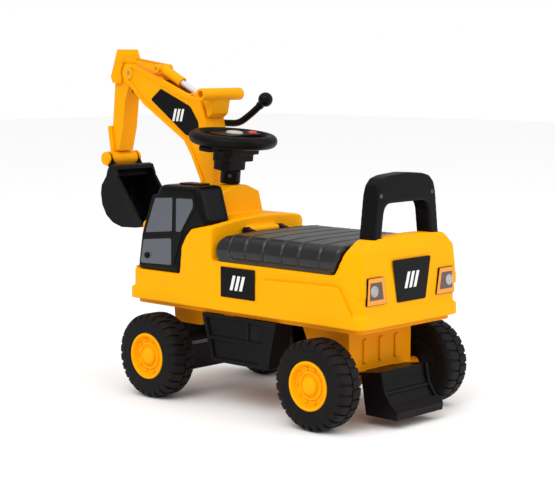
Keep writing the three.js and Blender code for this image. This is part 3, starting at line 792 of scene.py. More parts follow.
    def mark(self, name: str, body: str, place: Matrix, height: float) -> Piece:
        """Three slanted bars, a plain mark that stands for a label's print.

        Args:
            name: the piece's name.
            body: the body that it moves with.
            place: turns the mark's flat (across, up) plane into place, in millimetres.
            height: the bars' height in millimetres.

        Returns:
            The object.
        """
        bar, gap, lean, thickness = height * 0.26, height * 0.44, height * 0.3, 0.25
        points: list[Vector] = []
        faces = []
        for k in (-1, 0, 1):
            left = k * gap - bar / 2
            right = left + bar
            low, high = -height / 2, height / 2
            flat = [(left - lean / 2, low), (right - lean / 2, low)]
            flat += [(right + lean / 2, high), (left + lean / 2, high)]
            first = len(points)
            points += [place @ Vector((a, b, depth)) for depth in (0.0, thickness) for a, b in flat]
            loops = [[0, 1, 2, 3], [4, 5, 6, 7]] + self.strips(2, 4)
            faces += [[first + i for i in loop] for loop in loops]
        return self.dress(self.mesh(name, points, faces), body, Finish.MARK)


# ---- body ----


@dataclass
class Body:
    """The yellow body on its frame, with the boxes, blade and beam under it."""

    bench: Bench
    voxel: float = 1.7
    rounds: int = 5
    panel_foot: float = 102.0
    panel_depth: float = 5.2
    panel_edge: float = 2.4
    border_span: tuple[float, float] = (45.8, 50.7)
    fold_half: float = 46.5

    PANEL: ClassVar[Outline] = [(38, 155, 3), (48, 191, 8), (186, 194, 9), (212, 155, 3)]
    BORDER: ClassVar[Outline] = [
        (212.5, 75.6), (216.4, 75.4), (218.8, 61), (222.4, 48), (231.6, 35), (244.6, 24), (243.5, 20.8),
        (229, 31.6), (218.6, 45.6), (214.6, 60),
    ]
    CREASE: ClassVar[Outline] = [(217.6, 49.5), (220.8, 48.6), (222.4, 44.6), (220.4, 42.6)]
    LIP: ClassVar[Outline] = [(230.4, 31), (233.6, 32.6), (244.8, 23.4), (243.4, 19.6)]

    def build(self) -> None:
        """Makes the body and what is fixed below it."""
        bench = self.bench
        bench.blow("body_shell", "chassis", Finish.SHELL, self.voxel, self.rounds)
        self.side_panels()
        for node, finish, width, steps in (
            ("storage_tub", Finish.SEAT, 1.0, 2),
            ("chassis_frame", Finish.FRAME, 2.0, 3),
            ("left_side_box", Finish.SEAT, 1.4, 3),
            ("kingpin_left", Finish.STEEL, 0.4, 2),
            ("right_side_box", Finish.SEAT, 1.4, 3),
            ("kingpin_right", Finish.STEEL, 0.4, 2),
            ("rear_blade", Finish.SEAT, 1.0, 3),
        ):
            bench.carry(node, "chassis", finish, width, steps)
        self.blade_edges()
        bench.carry("front_axle_beam", "chassis", Finish.WORKING, 1.5)
        bench.carry("rear_axle", "chassis", Finish.STEEL, 0.5, 2)

    def blade_edges(self) -> None:
        """Adds the raised borders, the crease and the lower lip of the rear blade."""
        near, far = self.border_span
        for name, corners, low, high in (
            ("left", self.BORDER, near, far),
            ("right", self.BORDER, -far, -near),
            ("crease", self.CREASE, -self.fold_half, self.fold_half),
            ("lip", self.LIP, -self.fold_half, self.fold_half),
        ):
            edge = self.bench.prism("blade_edge_" + name, corners, Axis.X, low, high)
            self.bench.dress(self.bench.bevel(edge, 1.0), "chassis", Finish.SEAT)

    def side_panels(self) -> None:
        """Adds the shallow raised panel towards the rear of each flank."""
        right = -self.panel_foot - self.panel_depth
        for name, low in (("flank_panel_left", self.panel_foot), ("flank_panel_right", right)):
            panel = self.bench.prism(name, self.PANEL, Axis.X, low, low + self.panel_depth)
            self.bench.dress(self.bench.bevel(panel, self.panel_edge, 4), "chassis", Finish.SHELL)


@dataclass
class PushHandle:
    """The black arch behind the seat, with a screw on each leg."""

    bench: Bench
    voxel: float = 1.4
    rounds: int = 30
    screw_x: float = 55.0
    screw_z: float = 313.0
    face_y: float = 216.9

    SCREW: ClassVar[Outline] = [(0, 0.5), (1.0, 0.5), (1.4, 1.1), (2.6, 1.0), (3.3, 0.0), (0, 0)]

    def build(self) -> None:
        """Makes the handle and its screws."""
        self.bench.blow("push_handle", "chassis", Finish.SEAT, self.voxel, self.rounds)
        for name, x in (("handle_screw_left", self.screw_x), ("handle_screw_right", -self.screw_x)):
            spot = (x, self.face_y, self.screw_z)
            head = self.bench.turned(name + "_head", self.SCREW, spot, Axis.Y, 24)
            # The screw heads get the dark metal, whose colour holds painted shade for the recessed holes
            # they sit in.
            self.bench.dress(self.bench.smooth(head), "chassis", Finish.SCREW, name)


@dataclass
class Cab:
    """The black cab with its printed panes, door knob and roof vent."""

    bench: Bench
    inner: float = 50.4
    face: float = 103.2
    voxel: float = 1.7
    rounds: int = 90
    surround_foot: float = 1.4
    surround_rise: float = 0.75
    pane_foot: float = 0.2
    pane_rise: float = 0.35
    knob_at: tuple[float, float] = (-188.7, 205.0)
    gap_span: tuple[float, float] = (312.6, 316.0)

    OUTLINE: ClassVar[Outline] = [
        (-215, 183.4), (-121.8, 183.4, 3), (-117.4, 223.4), (-108.6, 238.4), (-97, 250.6, 8),
        (-66, 257.8, 2), (-82.8, 311.9, 5), (-163, 311.4, 7), (-192, 254),
    ]
    SURROUND: ClassVar[Outline] = [
        (-207, 189.5, 4), (-134, 191.5, 4), (-113, 246, 6), (-86, 281, 8), (-87.5, 298.5, 6), (-176, 296, 6),
        (-199, 236, 4),
    ]
    PANES: ClassVar[dict[str, Outline]] = {
        "front_upper": [(-171, 291, 3), (-133.5, 293.5, 3), (-135.5, 244.5, 3), (-193.5, 238.5, 3)],
        "rear_upper": [(-126.5, 293, 3), (-91.5, 294, 4), (-91, 282, 6), (-117, 245, 3), (-127.5, 244, 3)],
        "door": [(-197.5, 228, 3), (-137, 234, 3), (-137.6, 194.5, 3), (-205, 192.5, 3)],
    }
    KNOB: ClassVar[Outline] = [(0, 5.2), (2.2, 4.9), (3.9, 3.6), (4.6, 1.8), (4.4, 0.0), (0, 0)]
    VENT_GAP: ClassVar[Outline] = [(58, -122), (86, -122), (86, -119), (58, -119)]

    def build(self) -> None:
        """Makes the cab."""
        bench = self.bench
        shell = bench.prism("cab_shell_fine", self.OUTLINE, Axis.X, self.inner, self.face)
        bench.soften(shell, self.voxel, self.rounds)
        bench.dress(shell, "chassis", Finish.CAB, "cab_shell")
        low, high = self.face - self.surround_foot, self.face + self.surround_rise
        surround = bench.prism("cab_window_surround", self.SURROUND, Axis.X, low, high)
        holes = [
            bench.prism("hole_" + name, corners, Axis.X, self.face, self.face + 4.0)
            for name, corners in self.PANES.items()
        ]
        surround = bench.bevel(bench.cut(surround, *holes), 0.45, 2)
        bench.dress(surround, "chassis", Finish.CAB, "cab_side_window")
        low, high = self.face - self.pane_foot, self.face + self.pane_rise
        for name, corners in self.PANES.items():
            bench.dress(bench.prism("cab_pane_" + name, corners, Axis.X, low, high), "chassis", Finish.PANE)
        knob = bench.turned("cab_door_knob", self.KNOB, (self.face + 0.2, *self.knob_at), Axis.X, 28)
        bench.dress(bench.smooth(knob), "chassis", Finish.SEAT)
        vent = bench.copy("cab_roof_vent", "cab_roof_vent_fine")
        gap = bench.prism("vent_gap", self.VENT_GAP, Axis.Z, *self.gap_span)
        bench.dress(bench.bevel(bench.cut(vent, gap), 0.6), "chassis", Finish.CAB, "cab_roof_vent")


# ---- seat ----


@dataclass
class Seat:
    """The hinged black seat lid: a ribbed pad on a rounded shell, with hinge knuckles at its front."""

    bench: Bench
    half_width: float = 102.4
    bottom: float = 208.7
    height: float = 39.6
    front: float = -51.0
    front_foot: float = 4.5
    front_lean: float = 60.0
    rear: float = 173.0
    rear_lean: float = 12.5
    wall: float = 2.5
    rows: int = 210
    edge_round: float = 7.0
    tuck: float = 30.0
    pad_front: float = -21.0
    pad_bottom: float = 213.5
    pad_corner: float = 13.0
    pad_rise: float = 2.0
    bead_rise: float = 2.6
    bead_width: float = 1.6
    groove_width: float = 1.9
    grooves: tuple[float, ...] = (12.0, 46.0, 81.0, 113.0, 150.0)
    hinge: tuple[float, float] = (-50.0, 246.0)

    KNUCKLE: ClassVar[Outline] = [(0, 30.3), (4.6, 30.3), (5.6, 31.3), (5.6, 39.0), (4.6, 40.0), (0, 40.0)]

    @staticmethod
    def ramp(value: float, width: float) -> float:
        """A smooth step from 0 to 1 over that width, half-way at 0."""
        t = min(max(value / width + 0.5, 0.0), 1.0)
        return t * t * (3 - 2 * t)

    @staticmethod
    def ridge(distance: float, width: float) -> float:
        """A smooth bump that is 1 at a distance of 0."""
        return math.exp(-((distance / width) ** 2))

    def front_at(self, z: float) -> float:
        """Where the lid's front lies at a height."""
        rise = (z - self.bottom) / self.height
        foot = self.front_foot * self.ridge(rise, 0.12)
        return self.front + foot + self.front_lean * max(rise - 0.5, 0.0) ** 2

    def rear_at(self, z: float) -> float:
        """Where the lid's rear lies at a height."""
        rise = min(max((z - self.bottom) / self.height, 0.0), 1.0)
        return self.rear + self.rear_lean * rise**0.8

    def relief(self, y: float, z: float) -> float:
        """Shapes the pad: a bead round it and grooves across it.

        Args:
            y: place along the lid.
            z: height.

        Returns:
            How far the surface stands out from the plain shell there.
        """
        into_y, into_z = y - self.pad_front, z - self.pad_bottom
        corner = self.pad_corner
        if max(into_y, into_z) < corner:
            inside = corner - math.hypot(corner - into_y, corner - into_z)
        else:
            inside = min(into_y, into_z)
        ditch = sum(self.ridge(y - groove, self.groove_width) for groove in self.grooves)
        ditch *= self.ramp(inside - 2.5, 2.0)
        pad = self.ramp(inside - 2.6, 1.8) * (1.0 - min(ditch, 1.0))
        return self.pad_rise * pad + self.bead_rise * self.ridge(inside, self.bead_width)

    def section(self, spacing: float = 1.6) -> list[tuple[Vector, Vector]]:
        """Walks across the lid from side to side.

        Args:
            spacing: distance between points in millimetres.

        Returns:
            Points (x, z) at even spacing, each with the direction that faces out.
        """
        w, b, rise = self.half_width, self.bottom, self.pad_rise
        shoulder = (-w + rise + 6, b + self.height - 2 - rise, 18)
        side = [(-w + rise, b), (-w + rise - 0.4, b + 17), shoulder, (-50, b + self.height - rise)]
        other = [(-corner[0], *corner[1:]) for corner in reversed(side)]
        line = [Vector(point) for point in Bench.rounded(side + other, 12)]
        walked = [0.0]
        for here, there in zip(line, line[1:]):
            walked.append(walked[-1] + (there - here).length)
        count = int(walked[-1] / spacing)
        spots = []
        piece = 0
        for k in range(count + 1):
            reach = walked[-1] * k / count
            while piece < len(line) - 2 and walked[piece + 1] < reach:
                piece += 1
            share = (reach - walked[piece]) / (walked[piece + 1] - walked[piece])
            spots.append(line[piece].lerp(line[piece + 1], share))
        result = []
        for k, spot in enumerate(spots):
            along = spots[min(k + 1, count)] - spots[max(k - 1, 0)]
            result.append((spot, Vector((-along.y, along.x)).normalized()))
        return result

    def stations(self) -> list[tuple[float, float, float]]:
        """Rows from front to rear, as (share of the length, inset, offset), with rounded ends."""
        corner = self.edge_round
        quarter = [math.radians(angle) for angle in (0, 22.5, 45, 67.5)]
        front = [(0.0, corner * (1 - math.sin(a)), -corner * math.cos(a)) for a in quarter]
        rear = [(1.0, inset, -offset) for _, inset, offset in reversed(front)]
        middle = [(k / self.rows, 0.0, 0.0) for k in range(self.rows + 1)]
        first, last = (0.0, corner + self.tuck, -corner), (1.0, corner + self.tuck, corner)
        return [first, *front, *middle, *rear, last]

    def build(self) -> None:
        """Makes the lid, its knuckles and the hinge's pin."""
        across = self.section()
        rows = self.stations()
        points = []
        for share, inset, offset in rows:
            for spot, out in across:
                low, high = self.front_at(spot.y) + self.edge_round, self.rear_at(spot.y) - self.edge_round
                y = low + (high - low) * share + offset
                stand = self.relief(y, spot.y) - inset
                points.append((spot.x + out.x * stand, y, max(spot.y + out.y * stand, self.bottom)))
        faces = Bench.strips(len(rows), len(across), closed=False)
        lid = self.bench.mesh("seat_lid_fine", points, faces)
        wall = lid.modifiers.new("wall", "SOLIDIFY")
        wall.thickness = self.wall * MM
        wall.offset = -1.0
        self.bench.smooth(self.bench.bake(lid), 60.0)
        self.bench.dress(lid, "seat", Finish.LID, "seat_lid")
        self.knuckles()
        self.bench.carry("seat_hinge_pin", "chassis", Finish.STEEL, 0.3, 2)

    def knuckles(self) -> None:
        """Adds the two round knuckles with their lugs."""
        y, z = self.hinge
        shape = [(y, z - 5), (y + 12, z - 5), (y + 14, z + 1.5), (y, z + 5)]
        for name, side in (("seat_knuckle_left", 1), ("seat_knuckle_right", -1)):
            barrel = self.bench.turned(name, self.KNUCKLE, (0, y, z), Axis.X, 32, side)
            lug = self.bench.prism(name + "_lug", shape, Axis.X, *sorted((side * 30.6, side * 39.7)))
            self.bench.join(barrel, self.bench.bevel(lug, 0.8, 2))
            self.bench.dress(self.bench.smooth(barrel, 40.0), "seat", Finish.SEAT)


# ---- wheels ----


@dataclass
class Wheel:
    """A wide plastic wheel: a black tyre with two rows of lugs on a yellow dished rim."""

    bench: Bench
    place: str
    side: int
    axle_y: float
    middle: float = 116.6
    half: float = 23.0
    radius: float = 62.0
    lugs: int = 27
    lug_half: float = 0.4
    lug_taper: float = 0.86
    lug_lean: float = 0.16
    lug_step: float = 0.05
    bolts: int = 10
    bolt_circle: float = 23.6

    @property
    def centre(self) -> tuple[float, float, float]:
        """The middle of the wheel."""
        return (self.side * self.middle, self.axle_y, self.radius)

    def spun(self, name: str, profile: Outline, sides: int) -> Piece:
        """Revolves a profile round the wheel's axle."""
        return self.bench.turned(name, profile, self.centre, Axis.X, sides, self.side)

    def build(self) -> None:
        """Makes the tyre and the rim."""
        body = self.place + "_wheel"
        tyre = self.carcass()
        back = -self.half
        wall = [
            (4.7, back - 2.6), (13.5, back - 2.6), (13.5, back + 0.4), (34.6, back + 0.4),
            (34.6, back + 3.6), (11.4, back + 3.6), (11.4, back - 2.05), (4.7, back - 2.05),
        ]
        inner = self.spun("tyre_inner_wall", wall, 64)
        self.bench.join(tyre, self.tread(), inner)
        self.bench.dress(self.bench.smooth(tyre, 38.0), body, Finish.TYRE, "tyre_" + self.place)
        self.bench.dress(self.bench.smooth(self.rim(), 38.0), body, Finish.RIM, "rim_" + self.place)

    def carcass(self) -> Piece:
        """The tyre without its lugs."""
        r, h = self.radius, self.half
        profile = [
            (34.4, h - 2.2), (35.4, h - 1.0), (37.5, h - 0.6), (39.5, h - 1.2), (46, h - 0.6), (50, h - 0.9),
            (54, h - 2.0), (57, h - 4.6), (r - 2.6, h - 9), (r - 2.2, 2.0), (r - 3.4, 0.0),
        ]
        mirrored = [(a, -b) for a, b in reversed(profile[:-1])]
        return self.spun("tyre_" + self.place + "_fine", profile + mirrored, 96)

    def tread(self) -> Piece:
        """The two offset rows of lugs, which slant back from the middle groove over the shoulders."""
        r, h = self.radius, self.half
        section = [
            (1.1, r - 4.5), (1.1, r - 0.2), (9, r - 0.1), (15.5, r - 0.7), (19.4, r - 3.0), (21.6, r - 6.8),
            (22.3, r - 10.5), (20.0, r - 12.0), (18.0, r - 6.0), (12, r - 5.0),
        ]
        pitch = 2 * math.pi / self.lugs
        count = len(section)
        points: list[tuple[float, ...]] = []
        faces = []
        for row, n in ((row, n) for row in (1, -1) for n in range(self.lugs)):
            start = pitch * (n + (0.5 if row < 0 else 0.0))
            first = len(points)
            edges = (-self.lug_half, self.lug_half)
            for edge, (x, radial) in ((edge, spot) for edge in edges for spot in section):
                lean = self.lug_lean * (x / h) + (self.lug_step if x > 11 else 0.0)
                angle = start + (edge + lean) * pitch * (self.lug_taper if x > 18 else 1.0)
                spoke = (row * x, radial * math.cos(angle), radial * math.sin(angle))
                points.append(tuple(c + s for c, s in zip(self.centre, spoke)))
            loops = [list(range(count)), list(range(count, 2 * count))] + Bench.strips(2, count)
            faces += [[first + i for i in loop] for loop in loops]
        return self.bench.bevel(self.bench.mesh("lugs_" + self.place, points, faces), 0.7, 2, 25.0)

    def rim(self) -> Piece:
        """The dished rim with its ring of bolts and domed hub."""
        h = self.half
        profile = [
            (0, h - 1.4), (6, h - 1.7), (10.5, h - 2.9), (12.6, h - 5.2), (13.2, h - 8.6), (16.2, h - 8.8),
            (17.0, h - 6.6), (19.4, h - 6.6), (20.2, h - 9.2), (26.6, h - 9.0), (28.4, h - 5.0),
            (29.4, h - 2.0), (30.6, h - 0.9), (32.8, h - 0.9), (33.9, h - 2.0), (34.0, -h + 4),
            (30.0, -h + 4), (30.0, h - 13), (11.0, h - 17), (11.0, -h - 2), (4.5, -h - 2),
            (4.5, h - 8.5), (0, h - 8.5),
        ]
        head = [(0, h - 6.2), (1.6, h - 6.4), (2.3, h - 7.2), (2.4, h - 9.4), (0, h - 9.4)]
        rim = self.bench.bevel(self.spun("rim_" + self.place + "_fine", profile, 72), 0.5, 2, 20.0)
        x, y, z = self.centre
        heads = []
        for n in range(self.bolts):
            angle = 2 * math.pi * n / self.bolts
            spot = (x, y + self.bolt_circle * math.cos(angle), z + self.bolt_circle * math.sin(angle))
            heads.append(self.bench.turned(f"bolt_{n}", head, spot, Axis.X, 12, self.side))
        return self.bench.join(rim, *heads)


# ---- steering ----


@dataclass
class Steering:
    """The steering wheel with its sound box, buttons and column, and the linkage below."""

    bench: Bench
    centre: tuple[float, float, float] = (0.0, -112.0, 376.0)
    tilt: float = math.radians(6.0)
    ring: float = 56.5
    tube: float = 9.5
    screw_drop: float = 54.0
    screw_turn: float = math.radians(38.7)

    SLEEVE: ClassVar[Outline] = [
        (4.6, -10), (10.2, -10), (11.1, -11), (11.1, -46.6), (14.2, -46.6), (14.9, -47.4), (14.9, -65.3),
        (14.2, -66.3), (4.6, -66.3),
    ]
    SPOKES: ClassVar[tuple[Outline, ...]] = (
        [(-54, -10, 3), (-14, -13), (-14, 13), (-54, 10, 3)],
        [(14, -13), (54, -10, 3), (54, 10, 3), (14, 13)],
        [(-11, 14), (11, 14), (8, 54, 3), (-8, 54, 3)],
    )
    HUB: ClassVar[Outline] = [(0, 3), (22, 3), (24, 1), (24, -6), (22, -8), (0, -8)]
    SCREW: ClassVar[Outline] = [
        (0, 15.0), (1.0, 15.0), (1.4, 15.8), (2.4, 15.6), (2.9, 14.6), (2.9, 13.5), (0, 13.5)
    ]

    def set_up(self, piece: Piece) -> Piece:
        """Moves a piece made around the origin into the leaning column's frame."""
        lean = Matrix.Translation(self.bench.at(self.centre)) @ Matrix.Rotation(-self.tilt, 4, "X")
        piece.data.transform(lean @ Matrix.Translation(-self.bench.at((0, 0, 0))))
        return piece

    def build(self) -> None:
        """Makes the steering."""
        bench = self.bench
        bench.dress(self.wheel(), "steering", Finish.STEERING, "steering_wheel")
        bench.carry("horn_panel", "steering", Finish.STEERING, 1.4)
        bench.blow("music_box", "steering", Finish.STEERING, 0.9, 9)
        sleeve = self.set_up(bench.turned("column_sleeve_fine", self.SLEEVE, (0, 0, 0), Axis.Z, 56))
        bench.dress(bench.smooth(sleeve), "steering", Finish.STEERING, "column_sleeve")
        self.screw()
        self.buttons()
        for node, body, finish, width in (
            ("steering_shaft", "steering", Finish.STEEL, 0.5),
            ("knuckle_left", "left_knuckle", Finish.WORKING, 0.8),
            ("knuckle_right", "right_knuckle", Finish.WORKING, 0.8),
            ("tie_rod", "tie_rod", Finish.SCREW, 0.7),
        ):
            bench.carry(node, body, finish, width, 2)

    def wheel(self) -> Piece:
        """The rim with its three spokes and hub."""
        bench = self.bench
        steps = 28
        profile = []
        for k in range(steps):
            angle = 2 * math.pi * k / steps
            profile.append((self.ring + self.tube * math.cos(angle), self.tube * math.sin(angle)))
        wheel = bench.smooth(bench.turned("steering_wheel_fine", profile, (0, 0, 0), Axis.Z, 112), 60.0)
        parts = []
        for n, spoke in enumerate(self.SPOKES):
            parts.append(bench.bevel(bench.prism(f"spoke_{n}", spoke, Axis.Z, -6, 2), 1.6))
        parts.append(bench.smooth(bench.turned("hub", self.HUB, (0, 0, 0), Axis.Z, 48)))
        return self.set_up(bench.join(wheel, *parts))

    def buttons(self) -> None:
        """Adds the pale horn button and the red one."""
        for name, body, centre, radius, top, finish in (
            ("horn_button", "horn", (0, 2, 0), 12.6, 12.0, Finish.PALE),
            ("red_button", "sound", (-27, 13, 0), 6.6, 12.5, Finish.RED),
        ):
            dome = [(0, top), (radius * 0.6, top - 0.2), (radius - 1.0, top - 0.9), (radius, top - 2.0)]
            cap = self.bench.turned(name + "_cap", dome + [(radius, 8.4), (0, 8.4)], centre, Axis.Z, 44)
            self.bench.dress(self.bench.smooth(self.set_up(cap), 50.0), body, finish, name)

    def screw(self) -> None:
        """Adds the screw that clamps the column, facing back and to the side."""
        head = self.bench.turned("column_screw_head", self.SCREW, (0, 0, 0), Axis.X, 20)
        lowered = Matrix.Translation(self.bench.at((0, 0, -self.screw_drop)))
        turned = lowered @ Matrix.Rotation(self.screw_turn, 4, "Z")
        head.data.transform(turned @ Matrix.Translation(-self.bench.at((0, 0, 0))))
        self.bench.dress(self.bench.smooth(self.set_up(head)), "steering", Finish.SCREW, "column_screw")


# ---- digging arm ----


@dataclass
class Arm:
    """The digging arm: turntable, boom, lever, stick, ram and bucket."""

    bench: Bench
    plane: float = -40.0
    half: float = 20.0
    lever_pivot: tuple[float, float] = (-214.0, 396.0)
    lever_radius: float = 5.3
    ball_at: tuple[float, float] = (-108.6, 432.5)
    ball_radius: float = 11.0
    ram_front: tuple[float, float] = (-306.7, 478.5)
    ram_rear: tuple[float, float] = (-222.0, 437.0)
    roof_half: float = 37.9

    UNDER_ROOF: ClassVar[Outline] = [(-385, 313), (-379, 317), (-370, 318), (-362, 300), (-377, 300)]
    RIB: ClassVar[Outline] = [
        (-395, 301), (-404.4, 289), (-406.4, 277), (-403.6, 262), (-394.6, 247.4), (-380.6, 237),
        (-361, 231.4), (-330, 232), (-332, 235), (-359, 235), (-378, 240.4), (-391, 249.6), (-399.6, 263),
        (-402.2, 277), (-400.2, 288), (-392.5, 298),
    ]
    HUB: ClassVar[Outline] = [(0, -4.4), (7.0, -4.4), (8.0, -3.4), (8.0, 4.6), (7.0, 5.6), (0, 5.6)]
    EYE: ClassVar[Outline] = [(2.5, -12), (5.6, -12), (6.4, -11.2), (6.4, 11.2), (5.6, 12), (2.5, 12)]
    FOOT: ClassVar[Outline] = [(2.6, -5), (5.4, -5), (6.0, -4.4), (6.0, 4.4), (5.4, 5), (2.6, 5)]

    def build(self) -> None:
        """Makes the arm."""
        bench = self.bench
        bench.carry("turntable", "turntable", Finish.WORKING, 1.2)
        bench.carry("boom_foot_pin", "turntable", Finish.STEEL, 0.8, 2)
        bench.carry("boom_left_half", "boom", Finish.ARM, 0.9)
        bench.carry("boom_right_half", "boom", Finish.ARM, 0.9)
        bench.blow("boom_grip", "boom", Finish.ARM, 0.9, 7)
        bench.carry("boom_tip_pin", "boom", Finish.STEEL, 0.5, 2)
        bench.carry("ram_foot_pin", "boom", Finish.STEEL, 0.3, 2)
        self.lever()
        bench.carry("push_link", "push_link", Finish.STEEL, 0.5, 2)
        bench.carry("stick", "stick", Finish.ARM, 1.1)
        bench.carry("ram_pin", "stick", Finish.STEEL, 0.4, 2)
        bench.carry("bucket_pin", "stick", Finish.ARM, 1.4)
        self.ram()
        self.bucket()

    def lever(self) -> None:
        """Makes the bent hand lever with its ball."""
        bench = self.bench
        y, z = self.lever_pivot
        x = self.plane - self.half - 6
        route = [(x, y, z), (x, y + 26, z - 1), (x, y + 50, z + 1), (x, y + 73, z + 13), (x, -119, 424)]
        stem = bench.tube("lever_stem", route, self.lever_radius)
        hub = bench.turned("lever_hub", self.HUB, (x, y, z), Axis.X, 36)
        rod = [(0, 0), (3.5, 0), (3.5, 43.8), (0, 43.8)]
        shaft = bench.turned("lever_shaft", rod, (x, y, z), Axis.X, 20)
        crank = [(y - 6, z + 6, 5), (y + 6, z + 6, 5), (y + 0.5, z - 18.5, 4), (y - 10.5, z - 18.5, 4)]
        arm = bench.prism("lever_arm", crank, Axis.X, self.plane - 4, self.plane)
        pin = [(0, -1), (2.4, -1), (2.4, 6.5), (0, 6.5)]
        peg = bench.turned("lever_peg", pin, (self.plane, y - 5, z - 13), Axis.X, 20)
        bench.join(stem, hub, shaft, bench.bevel(arm, 0.5, 2), peg)
        bench.dress(bench.smooth(stem, 45.0), "lever", Finish.WORKING, "lever")
        self.knob(x)

    def knob(self, x: float) -> None:
        """Makes the lever's ball and the collar below it, in the plane at x."""
        bench = self.bench
        steps, radius = 24, self.ball_radius
        angles = [math.pi * k / steps for k in range(1, steps)]
        arc = [(radius * math.sin(angle), radius * math.cos(angle)) for angle in angles]
        ball = bench.turned("lever_ball", [(0, radius), *arc, (0, -radius)], (x, *self.ball_at), Axis.X, 48)
        collar = bench.tube("lever_collar", [(x, -121, 422.6), (x, -116.5, 426.2), (x, -113, 429)], 6.2)
        bench.dress(bench.smooth(bench.join(ball, collar), 45.0), "lever", Finish.WORKING, "lever_knob")

    def ram(self) -> None:
        """Makes the decorative ram: a yellow barrel with an eye, and a pale rod."""
        bench = self.bench
        front, rear = Vector(self.ram_front), Vector(self.ram_rear)
        reach = (rear - front).length
        along = (rear - front).normalized()
        turn = Quaternion((1, 0, 0), math.atan2(along.y, along.x)).to_matrix().to_4x4()
        start = Matrix.Translation(bench.at((self.plane, *self.ram_front)))
        place = start @ turn @ Matrix.Translation(-bench.at((0, 0, 0)))
        sleeve = [
            (6.0, 0.1), (6.0, 0.53), (7.4, 0.53), (8.3, 0.515), (8.3, 0.46), (7.9, 0.45), (7.9, 0.12),
            (8.4, 0.1), (8.4, 0.05), (7.2, 0.035), (3.0, 0.035), (3.0, 0.1),
        ]
        core = [(0, 0.2), (4.5, 0.2), (4.5, 0.93), (4.0, 0.97), (0, 0.97)]
        for name, profile, sides, end, finish in (
            ("ram_barrel", sleeve, 48, ("ram_eye", self.EYE, self.ram_front, 36), Finish.ARM),
            ("ram_rod", core, 40, ("ram_foot", self.FOOT, self.ram_rear, 28), Finish.ROD),
        ):
            scaled = [(radius, share * reach) for radius, share in profile]
            piece = bench.turned(name + "_fine", scaled, (0, 0, 0), Axis.Y, sides)
            piece.data.transform(place)
            word, ring, spot, steps = end
            lug = bench.turned(word, ring, (self.plane, *spot), Axis.X, steps)
            bench.dress(bench.smooth(bench.join(piece, lug), 40.0), name, finish, name)

    def bucket(self) -> None:
        """Makes the bucket, hollow under its roof, with two curved ribs inside."""
        bench = self.bench
        scoop = bench.copy("bucket", "bucket_fine")
        low, high = self.plane - self.roof_half, self.plane + self.roof_half
        under = bench.prism("under_roof", self.UNDER_ROOF, Axis.X, low, high)
        bench.dress(bench.bevel(bench.cut(scoop, under), 0.9), "bucket", Finish.WORKING, "bucket")
        for name, x in (("bucket_rib_left", self.plane + 13.0), ("bucket_rib_right", self.plane - 16.0)):
            rib = bench.prism(name, self.RIB, Axis.X, x, x + 3.0)
            bench.dress(bench.bevel(rib, 0.8, 2), "bucket", Finish.WORKING)


# ---- labels and lamps ----


